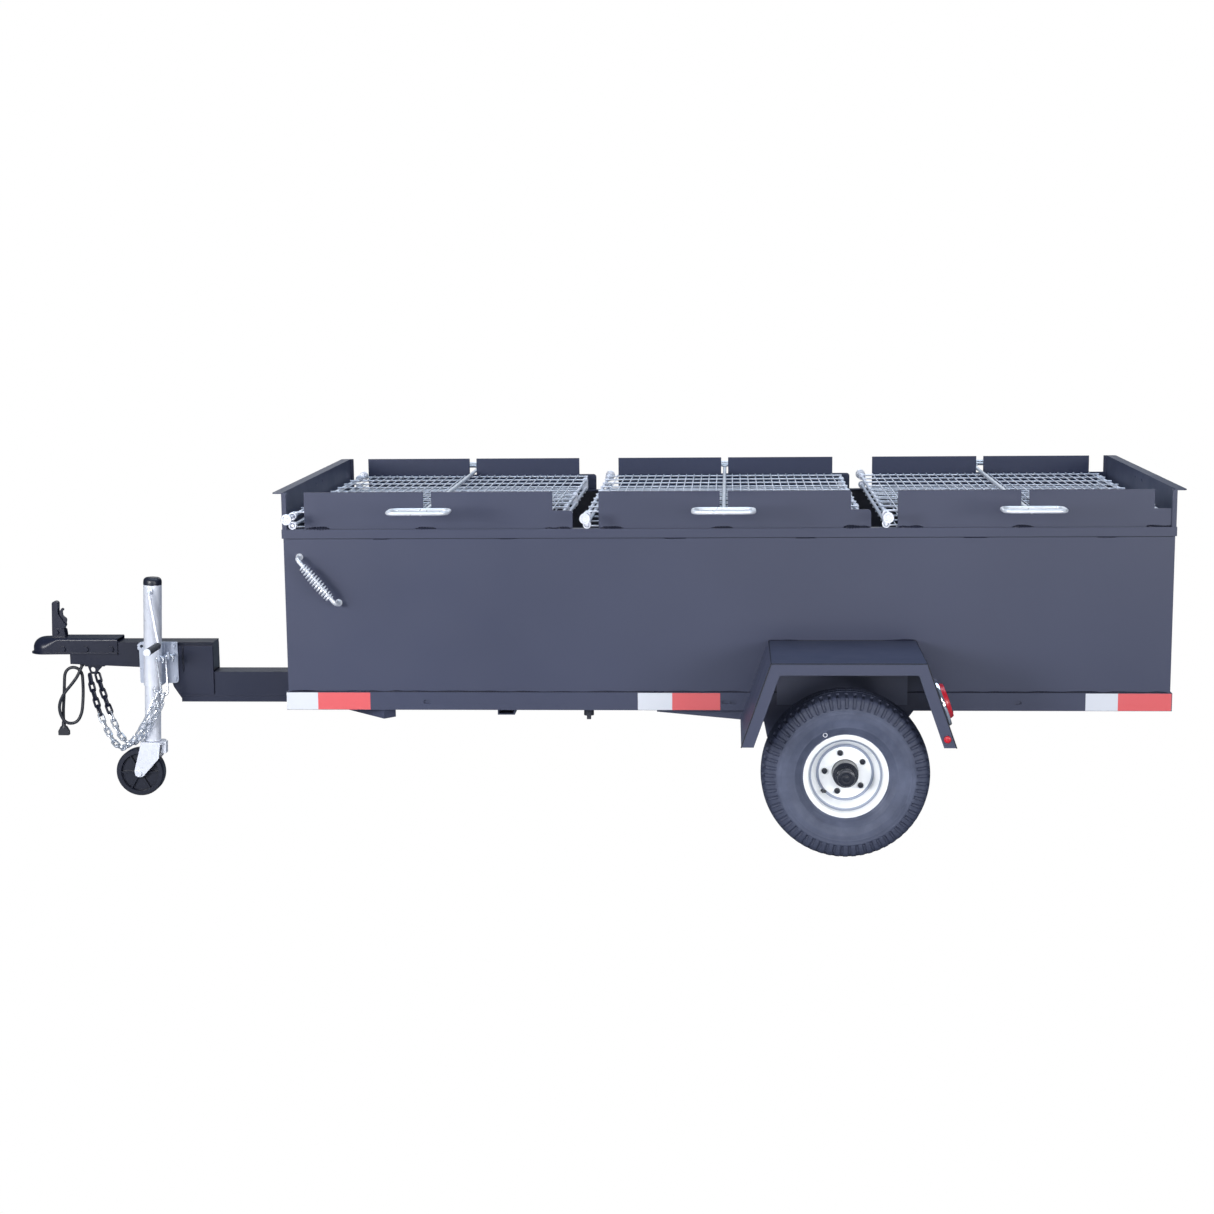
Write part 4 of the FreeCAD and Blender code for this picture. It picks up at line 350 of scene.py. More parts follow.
def slab(xs, ys, zs, bevel, bend=0.0, steps=2):  # a flat rectangular plate between pairs of x, y and z
    outline = [(x, z, bend) for x, z in ((xs[0], zs[0]), (xs[1], zs[0]), (xs[1], zs[1]), (xs[0], zs[1]))]
    return plate(outline, *sorted(ys), bevel, steps)


def moved(shape, matrix):  # a shape turned and shifted by a matrix
    points, quads = shape
    m = np.array(matrix)
    return points @ m[:3, :3].T + m[:3, 3], quads


def piece(name, parts, material, body, node=None, angle=38, extra=None):
    # joins shapes into one object that rides on a body and may stand for a CAD node
    points, quads, tones, count = [], [], [], 0
    for k, (p, q) in enumerate(parts):
        points.append(p)
        quads.append(q + count)
        tones.append(np.full(len(q), 0 if extra is None else extra[k]))
        count += len(p)
    points, quads = np.concatenate(points), np.concatenate(quads)
    mesh = bpy.data.meshes.new(name)
    mesh.vertices.add(len(points))
    mesh.vertices.foreach_set("co", points.astype(np.float32).ravel())
    mesh.loops.add(quads.size)
    mesh.loops.foreach_set("vertex_index", quads.astype(np.int32).ravel())
    mesh.polygons.add(len(quads))
    mesh.polygons.foreach_set("loop_start", np.arange(0, quads.size, 4, dtype=np.int32))
    for m in (material if isinstance(material, list) else [material]):
        mesh.materials.append(m)
    mesh.polygons.foreach_set("material_index", np.concatenate(tones).astype(np.int32))
    mesh.polygons.foreach_set("use_smooth", np.ones(len(quads), bool))
    mesh.update(calc_edges=True)
    mesh.validate()
    mesh.set_sharp_from_angle(angle=math.radians(angle))
    thing = bpy.data.objects.new(name, mesh)
    bpy.context.scene.collection.objects.link(thing)
    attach(thing, body)
    if node:
        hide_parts(*([node] if isinstance(node, str) else node))
    return thing


# wiring cable: the same route as in the part's source, in metres from the front of the box
cable = {"radius": 0.005, "length": 0.63, "route": [
    (-0.778, 0.000, 0.396), (-0.790, -0.003, 0.366), (-0.812, -0.007, 0.337),
    (-0.838, -0.010, 0.308), (-0.856, -0.010, 0.272), (-0.854, -0.008, 0.237),
    (-0.837, -0.004, 0.208), (-0.8045, 0.001, 0.209), (-0.788, 0.006, 0.238),
    (-0.784, 0.010, 0.274), (-0.782, 0.013, 0.310), (-0.782, 0.014, 0.343),
    (-0.783, 0.014, 0.371), (-0.7995, 0.014, 0.388), (-0.8225, 0.013, 0.388),
    (-0.839, 0.012, 0.371), (-0.841, 0.010, 0.340), (-0.843, 0.009, 0.308),
    (-0.846, 0.008, 0.275), (-0.849, 0.007, 0.243), (-0.849, 0.007, 0.212)]}
route = [(boxFront + x, y, z) for x, y, z in cable["route"]]
curve = bpy.data.curves.new("wiring_cable_line", "CURVE")
curve.dimensions = "3D"
curve.bevel_depth = cable["radius"]
curve.bevel_resolution = 6
curve.use_fill_caps = True
spline = curve.splines.new("NURBS")
spline.points.add(len(route) - 1)
for point, place in zip(spline.points, route):
    point.co = (*place, 1.0)
spline.order_u = 3
spline.use_endpoint_u = True
spline.resolution_u = 12
curve.materials.append(rubber)
wire = bpy.data.objects.new("wiring_cable_line", curve)
bpy.context.scene.collection.objects.link(wire)
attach(wire, "trailer")
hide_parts("wiring_cable")
plugSize = {"thick": 0.0065, "soft": 0.0015,  # half the thickness, then the softened edge
            "neck": [(pole, 0), (0.0060, 0), (0.0064, -0.006), (0.0072, -0.014), (0.0095, -0.020),
                     (pole, -0.021)],
            "face": [(-0.018, -0.044, 0.003), (0.018, -0.044, 0.003), (0.018, -0.030, 0.004),
                     (0.009, -0.014, 0.003), (-0.009, -0.014, 0.003), (-0.018, -0.030, 0.004)]}
px, py, pz = route[-1]
plugParts = [lathe(plugSize["neck"], (px, py, pz), (0, 0, 1), 24),
             plate([(px + u, pz + v, bend) for u, v, bend in plugSize["face"]],
                   py - plugSize["thick"], py + plugSize["thick"], plugSize["soft"])]
plug = piece("cable_plug", plugParts, rubber, "trailer", "trailer_plug")
print("cable made")


# baskets: round wires and bars in place of the plain ones
basketSize = {"pitch": 0.0254, "wire": 0.0018, "cross": 0.0027, "rod": 0.005, "crossCount": 10,
              "inset": 0.031, "rise": 0.027, "press": 0.0002, "collar": 0.0115, "bore": 0.0075,
              "web": 0.005, "collarOut": 0.004, "collarIn": 0.012, "eye": 0.0095, "knob": 0.008}
shaftSize = {"radius": 0.0055, "reach": 0.121, "loop": 0.088, "half": 0.084, "bend": 0.024,
             "weld": 0.0028, "weldHalf": 0.009}


def collarShape(x, z, side):  # cup-shaped collar, open outwards
    s = basketSize
    start = side * (faceY - s["collarIn"])
    out = side * (faceY + s["collarOut"]) - start
    web = math.copysign(s["web"], out)
    profile = [(pole, 0), (s["collar"] - 0.001, 0), (s["collar"], math.copysign(0.001, out)),
               (s["collar"], out * 0.94), (s["collar"] - 0.001, out), (s["bore"] + 0.001, out),
               (s["bore"], out * 0.94), (s["bore"], web), (pole, web)]
    return lathe(profile, (x, start, z), (0, 1, 0), 36)


def meshShapes(x0, x1, y0, y1, crossLow, wireLow, middle):  # cross rods along X, wires along Y
    s = basketSize
    z = crossLow + s["cross"]
    shapes = [bar((x0, y, z), (x1, y, z), s["cross"], 10)
              for y in np.linspace(y0 + s["cross"], y1 - s["cross"], s["crossCount"])]
    z = wireLow + s["wire"]
    count = int((x1 - middle - 2 * s["rod"]) / s["pitch"])
    for n in range(-count, count + 1):
        x = middle + n * s["pitch"]
        shapes.append(bar((x, y0, z), (x, y1, z), s["wire"], 8))
    return shapes


for n in (1, 2, 3):
    s = basketSize
    flip, hinge = joints["basket_flip_%d" % n]["pos_m"], joints["basket_open_%d" % n]["pos_m"]
    middle, rod, press = flip[0], s["rod"], s["press"]
    leftX, rightX = corners("lower_grate_%d" % n)[0][0] + s["collar"], hinge[0]
    upperZ, lowerZ = hinge[2], hinge[2] - s["rise"]
    meshY = corners("upper_grate_%d" % n)[1][1]
    inner = faceY - s["inset"]
    span = leftX - rod, rightX + rod, -inner, inner
    crossLow = lowerZ - rod + press - 2 * s["cross"]
    shapes = [bar((leftX, -faceY - 0.002, lowerZ), (leftX, faceY + 0.002, lowerZ), rod, 18),
              bar((rightX, -inner, lowerZ), (rightX, inner, lowerZ), rod, 18)]
    shapes += [collarShape(leftX, lowerZ, side) for side in (-1, 1)]
    shapes += meshShapes(*span, crossLow, crossLow - 2 * s["wire"], middle)
    step = (2 * inner - 2 * s["cross"]) / (s["crossCount"] - 1)
    r = s["eye"]
    for k in range(3):  # hinge eyes, each halfway between two cross rods
        bay = 1 + k * (s["crossCount"] - 3) // 2
        y = -inner + step * (bay + 0.5)
        shapes.append(slab((rightX - r, rightX + r), (y - 0.003, y + 0.003), (lowerZ - r, upperZ + r),
                           0.0006, r * 0.999, 10))
    piece("lower_basket_%d" % n, shapes, stainless, "basket_%d_lower" % n, "lower_grate_%d" % n)

    crossLow = upperZ + rod - press
    shapes = [bar((leftX, -meshY + 0.002, upperZ), (leftX, meshY - 0.002, upperZ), rod, 18),
              bar((rightX, -inner, upperZ), (rightX, inner, upperZ), rod, 18)]
    for side in (-1, 1):
        back = side * s["knob"]
        knob = [(pole, -back * 0.5), (0.0090, -back * 0.5), (0.0104, 0), (0.0145, 0), (0.0155, -back * 0.15),
                (0.0155, -back * 0.85), (0.0145, -back), (pole, -back)]
        shapes.append(collarShape(leftX, upperZ, side))
        shapes.append(lathe(knob, (leftX, side * meshY, upperZ), (0, 1, 0), 40))
    shapes += meshShapes(*span, crossLow, crossLow + 2 * s["cross"], middle)
    piece("upper_basket_%d" % n, shapes, stainless, "basket_%d_upper" % n, "upper_grate_%d" % n)

    h = shaftSize
    r, half, weldHalf = h["radius"], h["half"], h["weldHalf"]
    near, far = faceY + h["reach"], faceY + h["reach"] + h["loop"]
    handZ = flip[2] + r + r - press
    shapes = [bar((middle, -near - r, flip[2]), (middle, near + r, flip[2]), r, 18)]
    for side in (-1, 1):
        loop = rounded([(middle + a, side * b, h["bend"]) for a, b in
                        ((-half, near), (half, near), (half, far), (-half, far))], 8)
        shapes.append(tube(np.column_stack([loop, np.full(len(loop), handZ)]), r, 14, True))
        y, z = side * (near - r * 0.9), handZ - 0.004
        shapes.append(bar((middle - weldHalf, y, z), (middle + weldHalf, y, z), h["weld"], 10, 0.8))
    piece("turning_shaft_%d" % n, shapes, brightBar, "basket_%d_upper" % n, "spit_shaft_%d" % n)
print("baskets made")


wheelSize = {"lugs": 61, "rimHalf": 0.058, "discIn": 0.052, "bolts": 5, "boltCircle": 0.05715,
             "boltTurn": 104, "valveAt": 0.082, "valveTurn": 220, "markAt": 0.133, "markTurn": 116}
treadSize = {"starts": 0.224, "grooves": (-0.024, 0.0, 0.024), "grooveDeep": 0.0060, "grooveHalf": 0.0026,
             "wave": 0.0016, "lugsFrom": 0.040, "shoulder": 0.1935, "lugDeep": 0.0052, "sipeAt": 0.0125,
             "sipeDeep": 0.0012, "ringWidth": 0.0014,
             "rings": ((0.1900, 0.0008), (0.1800, 0.0005), (0.1420, 0.0008), (0.1290, 0.0007))}


def smoothSteps(points, count):  # a smooth line through profile points, by their running length
    points = np.asarray(points, float)
    run = running(points)
    fine = np.linspace(0, run[-1], count)
    line = np.column_stack([np.interp(fine, run, points[:, k]) for k in (0, 1)])
    for _ in range(3):
        line[1:-1] = (line[:-2] + 2 * line[1:-1] + line[2:]) / 4
    return line


def tyreProfile():  # from the outer bead over the tread to the inner bead
    half = [(0.1040, 0.0505), (0.1150, 0.0530), (0.1225, 0.0555), (0.1400, 0.0690), (0.1650, 0.0742),
            (0.1850, 0.0745), (0.2030, 0.0735), (0.2160, 0.0712), (0.2235, 0.0670), (0.2272, 0.0620),
            (0.2306, 0.0500), (0.2340, 0.0300), (0.2350, 0.0)]
    whole = half + [(r, -y) for r, y in half[-2::-1]]
    return smoothSteps(whole, 260)


def tyreWarp(radius, reach, turn):
    # wavy grooves run round the tread, the shoulders are cut into lugs, fine rings mark the wall: each
    # lowers the radius, or draws the wall in, by its depth times a ramp from 0 to 1 across its edge
    t, lugs = treadSize, wheelSize["lugs"]
    side, across = np.sign(reach), np.abs(reach)
    onTread = np.clip((radius - t["starts"]) / 0.004, 0, 1)
    wave = t["wave"] * np.sin(turn * lugs)
    groove = np.zeros_like(radius)
    for centre in t["grooves"]:
        groove = np.maximum(groove, np.clip(1.6 - np.abs(reach - centre - wave) / t["grooveHalf"], 0, 1))
    radius = radius - t["grooveDeep"] * groove * onTread
    phase = (turn * lugs / tau + side * 0.25) % 1.0
    cut = np.clip((np.abs(phase - 0.5) - 0.29) / 0.05, 0, 1)
    band = np.clip((across - t["lugsFrom"]) / 0.002, 0, 1) * np.clip((radius - t["shoulder"]) / 0.002, 0, 1)
    depth = t["lugDeep"] * cut * band
    lean = np.clip((across - 0.060) / 0.008, 0, 1)
    radius = radius - depth * (1 - lean)
    reach = reach - side * depth * lean
    sipes = np.clip(1 - np.abs((turn * lugs * 2 / tau) % 1.0 - 0.5) / 0.09, 0, 1)
    rib = np.clip(1 - np.abs(across - t["sipeAt"]) / 0.006, 0, 1)
    radius = radius - t["sipeDeep"] * sipes * rib * onTread
    for ringAt, tall in t["rings"]:
        reach = reach + side * tall * np.exp(-((radius - ringAt) / t["ringWidth"]) ** 2) * (across > 0.05)
    return radius, reach


def hexWarp(radius, reach, turn):  # flats on a bolt's head: its radius falls between six corners
    return np.where(radius > 0.0070, radius * (0.94 + 0.06 * np.cos(6 * turn) ** 2), radius), reach


def onCircle(centre, radius, degrees):  # x and z round a centre: cosine and sine times the radius
    turn = math.radians(degrees)
    return centre[0] + radius * math.cos(turn), centre[2] + radius * math.sin(turn)


def wheelShapes(side, word):  # tyre, rim, bolts, valve and hub of one side, each a turned profile
    size = wheelSize
    centre = np.array(joints["wheel_spin_" + word]["pos_m"])
    body = "wheel_" + word
    axis = (0, side, 0)
    inside = [(0.1040, -0.0505), (0.1028, -0.0420), (0.1200, -0.0440), (0.2000, -0.0500), (0.2190, 0.0),
              (0.2000, 0.0500), (0.1200, 0.0440), (0.1028, 0.0420)]
    whole = np.vstack([tyreProfile(), inside])
    piece("tyre_tread_" + word, [lathe(whole, centre, axis, size["lugs"] * 12, True, tyreWarp)], tyreRubber,
          body, "tyre_" + word, 50)
    x, z = onCircle(centre, size["markAt"], size["markTurn"])
    mark = lathe([(0.0065, 0.0), (0.0065, 0.0012), (0.0045, 0.0012), (0.0045, 0.0)],
                 (x, centre[1] + side * 0.0668, z), axis, 28, True)
    piece("tyre_mark_" + word, [mark], filmWhite, body)

    w = size["rimHalf"]
    front = [(0.1010, -w + 0.004), (0.1030, -w + 0.0015), (0.1070, -w + 0.0025), (0.1120, -w),
             (0.1168, -w), (0.1185, -w + 0.002), (0.1170, -w + 0.0042), (0.1120, -w + 0.0036),
             (0.1040, -w + 0.0050), (0.1020, -w + 0.008)]
    flange = [(0.0960, w - 0.0290), (0.1005, w - 0.0235), (0.1035, w - 0.0060), (0.1120, w - 0.0045),
              (0.1172, w - 0.0050), (0.1185, w - 0.0025), (0.1172, w - 0.0002), (0.1120, w),
              (0.1075, w - 0.0008), (0.1048, w - 0.0022), (0.1030, w - 0.0060), (0.1012, w - 0.0150),
              (0.1004, w - 0.0195), (0.0990, w - 0.0215), (0.0960, w - 0.0228), (0.0930, w - 0.0250),
              (0.0835, w - 0.0445), (0.0818, w - 0.0500)]
    barrel = front + [(0.1000, -w + 0.022), (0.0860, -w + 0.032), (0.0845, -w + 0.036), (0.0845, 0.000),
                      (0.0860, 0.006)] + flange
    lining = [(0.0812, 0.000), (0.0810, -w + 0.036), (0.0830, -w + 0.032), (0.0970, -w + 0.022),
              (0.0975, -w + 0.010)]
    shapes = [lathe(barrel + lining, centre, axis, 144, True)]
    disc = centre[1] + side * (w - size["discIn"])
    dish = [(0.0370, -0.0010), (0.0376, 0.0), (0.0400, 0.0), (0.0460, 0.0), (0.0712, 0.0), (0.0732, -0.0004),
            (0.0752, -0.0030), (0.0772, -0.0042), (0.0792, -0.0030), (0.0812, 0.0010), (0.0822, 0.0015),
            (0.0822, -0.0040), (0.0800, -0.0070), (0.0760, -0.0075), (0.0715, -0.0040), (0.0370, -0.0040)]
    shapes.append(lathe(dish, (centre[0], disc, centre[2]), axis, 144, True))
    seat = [(0.0096, 0.0), (0.0120, 0.0), (0.0112, 0.0012), (0.0102, 0.0014), (0.0096, 0.0004)]
    cone = [(pole, 0.0080), (0.0038, 0.0080), (0.0044, 0.0055), (0.0070, 0.0050), (0.0082, 0.0035),
            (0.0086, 0.0), (pole, 0.0)]
    tail = [(pole, 0.0062), (0.0028, 0.0062), (0.0030, 0.0082), (pole, 0.0082)]
    bolts = []
    for k in range(size["bolts"]):
        x, z = onCircle(centre, size["boltCircle"], size["boltTurn"] + 360 / size["bolts"] * k)
        shapes.append(lathe(seat, (x, disc, z), axis, 32, True))
        bolts.append(lathe(cone, (x, disc, z), axis, 6 * 4, warp=hexWarp))
        bolts.append(lathe(tail, (x, disc, z), axis, 16))
    at = disc * side - centre[1] * side
    # grey-blue rings in the flange's groove and the disc's trough: painted shade
    rings = [[(0.1012, w - 0.0140), (0.1000, w - 0.0188), (0.0986, w - 0.0208), (0.0955, w - 0.0222)],
             [(0.0735, at + 0.0001), (0.0752, at - 0.0024), (0.0772, at - 0.0036), (0.0792, at - 0.0024),
              (0.0806, at + 0.0008)]]
    shade = [lathe(line + [(r - 0.0001, a - 0.0003) for r, a in line[::-1]], centre, axis, 144, True)
             for line in rings]
    piece("wheel_disc_" + word, shapes + shade, [silver, ringShade], body,
          "wheel_rim_" + word, 30, [0] * len(shapes) + [1] * len(shade))
    piece("wheel_bolts_" + word, bolts, darkIron, body, "lug_bolts_" + word)
    x, z = onCircle(centre, size["valveAt"], size["valveTurn"])
    stem = [(pole, 0.0), (0.0056, 0.0), (0.0056, 0.004), (0.0040, 0.007), (0.0036, 0.020), (0.0042, 0.021),
            (0.0042, 0.029), (0.0030, 0.031), (pole, 0.031)]
    turn = math.radians(size["valveTurn"])
    tilt = (-0.3 * math.cos(turn), side, -0.3 * math.sin(turn))  # the stem leans in towards the hub
    piece("valve_stem_" + word, [lathe(stem, (x, disc + side * 0.003, z), tilt, 20)], rubber,
          body)

    low, high = corners("wheel_hub_" + word)
    tip = (high[1] - disc) if side > 0 else (disc - low[1])
    hub = [(0.0151, -0.062), (0.0300, -0.062), (0.0300, -0.0145), (0.0690, -0.0145), (0.0700, -0.0135),
           (0.0700, -0.005), (0.0690, -0.004), (0.0362, -0.004), (0.0362, 0.004), (0.0355, tip - 0.040),
           (0.0335, tip - 0.037), (0.0290, tip - 0.034), (0.0275, tip - 0.032), (0.0275, tip - 0.026),
           (0.0262, tip - 0.0245), (0.0245, tip - 0.0235), (0.0245, tip - 0.004), (0.0232, tip - 0.0015),
           (0.0200, tip), (0.0165, tip), (0.0150, tip - 0.0015), (0.0110, tip - 0.0018),
           (0.0095, tip - 0.0006), (0.0080, tip - 0.0004), (0.0066, tip - 0.0016), (0.0040, tip - 0.0010),
           (pole, tip - 0.0008), (pole, tip - 0.006), (0.0151, tip - 0.006)]
    piece("hub_and_cap_" + word, [lathe(hub, (centre[0], disc, centre[2]), axis, 72, True)], darkIron, body,
          "wheel_hub_" + word, 30)


wheelShapes(-1, "left")
wheelShapes(1, "right")
print("wheels made")


# welds: rippled beads where plates meet, some long, some short tacks; near-black, as painted shade in the gaps
# along the joints
beadSize = {"rail": 0.0034, "rim": 0.0030, "guard": 0.0052, "end": 0.003, "fender": 0.0020, "plate": 0.0028}
weldSize = {"rim": ((0.260, 0.312), (0.626, 0.680), (1.100, 1.166), (1.469, 1.534), (1.944, 2.016),
                    (2.315, 2.373)), "guards": ((-0.352, -0.285), (-0.035, 0.025), (0.338, 0.412)),
            "ends": (-0.48, -0.16, 0.16, 0.48), "fenders": ((-0.209, -0.125), (0.115, 0.205)),
            "plates": (-0.438, 0.385, 0.466)}
fenderSize = {"topHalf": 0.209, "footHalf": 0.290, "topZ": 0.574, "footZ": 0.343, "reach": 0.357}
slotSize = {"places": (0.410, 1.2845, 2.107), "half": 0.028, "low": 0.384, "high": 0.406}
shadeLineSize = {"edge": 0.0017, "bend": 0.0015, "seam": 0.0014, "drop": 0.0008}


def bead(start, end, radius, pitch=0.0045, wander=0.0006):
    # a tube along a line: its radius ripples with the pitch and wanders slowly, thin at both ends
    start, end = np.asarray(start, float), np.asarray(end, float)
    length = float(np.linalg.norm(end - start))
    count = max(8, int(length / 0.0018))
    t = np.linspace(0, 1, count)
    path = start + (end - start) * t[:, None]
    slow = np.interp(t, np.linspace(0, 1, max(4, int(length / 0.03))),
                     rng.normal(0, 1, max(4, int(length / 0.03))))
    path[:, 2] += wander * slow * (abs(end[2] - start[2]) < abs(end[0] - start[0]))
    swell = radius * (1 + 0.16 * np.sin(tau * t * length / pitch) + 0.16 * slow)
    ends = np.clip(np.minimum(t, 1 - t) * length / (radius * 2), 0.25, 1) ** 0.5
    return tube(path, swell * ends, 8)


beads = []
rimTop, rimFoot = rim[1][2] + 0.0005, rim[0][2] - 0.0008
for side in (-1, 1):
    y = side * shell[1][1]
    beads.append(bead((rails[0][0] + 0.01, y, rails[1][2]), (rails[1][0] - 0.01, y, rails[1][2]),
                      beadSize["rail"]))
    for a, b in weldSize["rim"]:
        beads.append(bead((boxFront + a, y, rimFoot), (boxFront + b, y, rimFoot), beadSize["rim"]))
for n in (1, 2, 3):
    middle = joints["basket_flip_%d" % n]["pos_m"][0]
    for side in (-1, 1):
        y = side * (faceY - 0.0065)
        for a, b in weldSize["guards"]:
            beads.append(bead((middle + a, y, rimTop), (middle + b, y, rimTop), beadSize["guard"], 0.008))
for x in (boxFront + 0.0065, rails[1][0] - 0.0065):
    for y in weldSize["ends"]:
        beads.append(bead((x, y - 0.03, rimTop), (x, y + 0.03, rimTop), beadSize["end"]))
fenderTop = corners("fender_left")[1][2] + 0.0004
for side in (-1, 1):
    y = side * (shell[1][1] + 0.001)
    for a, b in weldSize["fenders"]:
        beads.append(bead((axleX + a, y, fenderTop), (axleX + b, y, fenderTop),
                          beadSize["fender"], 0.006))
sidePlates = corners("tongue_side_plates")
plateX, plateLow, plateHigh = weldSize["plates"]
for side in (-1, 1):
    x, y = boxFront + plateX, side * (sidePlates[1][1] + 0.0005)
    beads.append(bead((x, y, plateLow), (x, y, plateHigh), beadSize["plate"], 0.007, 0.0))
piece("weld_beads", beads, weldShadePaint, "trailer")

slotShades, shadeSheets, shadeLines = [], [], []
for x in slotSize["places"]:  # dark plates behind the slots in the rails: painted shade that makes them read as holes
    for side in (-1, 1):
        slotShades.append(slab((boxFront + x - slotSize["half"], boxFront + x + slotSize["half"]),
                          (side * (faceY - 0.0080), side * (faceY - 0.0072)),
                          (slotSize["low"], slotSize["high"]), 0.0002, 0.002))
piece("rail_slot_backs", slotShades, rubber, "trailer")
for side in (-1, 1):  # dark sheets on the inside of the long walls: painted shade inside the firebox, seen through the grates
    shadeSheets.append(slab((shell[0][0] + 0.004, shell[1][0] - 0.004),
                     (side * (shell[1][1] - 0.0031), side * (shell[1][1] - 0.0036)),
                     (0.70, shell[1][2] - 0.001), 0.0001))
piece("inner_soot", shadeSheets, firedSteel, "trailer")
for side in (-1, 1):  # painted shade: dark lines along the fender's folds, along the fender's top seam and under the rim
    f, drop = fenderSize, shadeLineSize["drop"]
    y = side * (faceY + f["reach"] - 0.0007)
    edge = ((-f["footHalf"], f["footZ"]), (-f["topHalf"], f["topZ"]),
            (f["topHalf"], f["topZ"]), (f["footHalf"], f["footZ"]))
    line = [(axleX + x, y, z - drop) for x, z in edge]
    shadeLines += [bar(a, b, shadeLineSize["edge"], 8) for a, b in zip(line, line[1:])]
    x0, x1 = axleX - f["topHalf"], axleX + f["topHalf"]
    for x in (x0, x1):
        shadeLines.append(bar((x, side * (faceY - 0.004), f["topZ"] - drop), (x, y, f["topZ"] - drop),
                         shadeLineSize["bend"], 8))
    seams = ((x0, x1, shell[1][1] + 0.0012, f["topZ"] + 0.0002),
             (rim[0][0] + 0.010, rim[1][0] - 0.010, shell[1][1] + 0.0004, rim[0][2] - 0.0006))
    shadeLines += [bar((a, side * out, z), (b, side * out, z), shadeLineSize["seam"], 8) for a, b, out, z in seams]
piece("soft_folds", shadeLines, lineShade, "trailer")
print("welds made")


# reflective tape: red and white film on both rails, as (start, white length, red length)
tapeSize = {"runs": ((0.0, 0.092, 0.153), (1.022, 0.099, 0.138), (2.297, 0.091, 0.150)),
            "under": 0.0001, "over": 0.0005}
tapeLow, tapeHigh = corners("reflective_tape")
strips, tones = [], []
for start, white, red in tapeSize["runs"]:
    x0 = boxFront + start
    x1 = x0 + white
    for side in (-1, 1):
        ys = (side * (faceY + tapeSize["under"]), side * (faceY + tapeSize["over"]))
        for tone, xs in enumerate(((x0, x1), (x1, x1 + red))):
            strips.append(slab(xs, ys, (tapeLow[2], tapeHigh[2]), 0.0001))
            tones.append(tone)
piece("tape_film", strips, [filmWhite, filmRed], "trailer", "reflective_tape", extra=tones)


lampSize = {"up": 0.110, "out": 0.250, "markerIn": 0.0252, "markerUp": 0.024, "ribs": 0.0035,
            "ribTall": 0.0018}


def lampShapes():  # turned rings and ribbed lenses, square to the fender's slope, and side markers
    f, size = fenderSize, lampSize
    rise, run = f["topZ"] - f["footZ"], f["footHalf"] - f["topHalf"]
    normal = np.array((rise, 0, run)) / math.hypot(rise, run)
    up = np.array((-run, 0, rise)) / math.hypot(rise, run)
    footX = axleX + f["footHalf"]
    spot = np.array((footX, 0, f["footZ"])) + up * size["up"]
    base = [(pole, 0.0002), (0.0660, 0.0002), (0.0680, 0.003), (0.0680, 0.008), (0.0655, 0.0118),
            (0.0600, 0.0120), (0.0545, 0.0100), (0.0505, 0.0098), (0.0503, 0.0075), (pole, 0.0074)]
    lens = [(0.0499, 0.0075), (0.0499, 0.0160), (0.0480, 0.0200)]
    for r in np.arange(0.0455, 0.004, -size["ribs"]):  # each rib of the lens, domed towards its middle
        dome = 0.0216 + 0.0030 * (0.05 - r) / 0.05
        lens += [(r + 0.0009, dome + size["ribTall"]), (r, dome)]
    lens += [(pole, 0.0266)]
    marker = [(pole, 0.0), (0.0100, 0.0), (0.0100, 0.0028), (0.0086, 0.0046), (0.0050, 0.0050),
              (pole, 0.0050)]
    rings, lenses = [], []
    for side in (-1, 1):
        here = spot + np.array((0, side * (faceY + size["out"]), 0))
        rings.append(lathe(base, here, normal, 72))
        lenses.append(lathe(lens, here, normal, 72))
        markerSpot = (footX - size["markerIn"], side * (faceY + f["reach"]), f["footZ"] + size["markerUp"])
        lenses.append(lathe(marker, markerSpot, (0, side, 0), 36))
    piece("lamp_bases", rings, chrome, "trailer", "tail_light_housings")
    piece("lamp_glass", lenses, redLens, "trailer", "lamp_lenses", 60)


lampShapes()
print("tape and lamps made")


grabSize = {"top": (0.050, 0.818), "foot": (0.160, 0.685), "reach": 0.042, "bend": 0.014, "rod": 0.006}
coilSize = {"turns": 13, "wire": 0.0019, "start": 0.16, "share": 0.70, "sag": 0.0015, "slim": 0.0092,
            "swell": 0.0056}


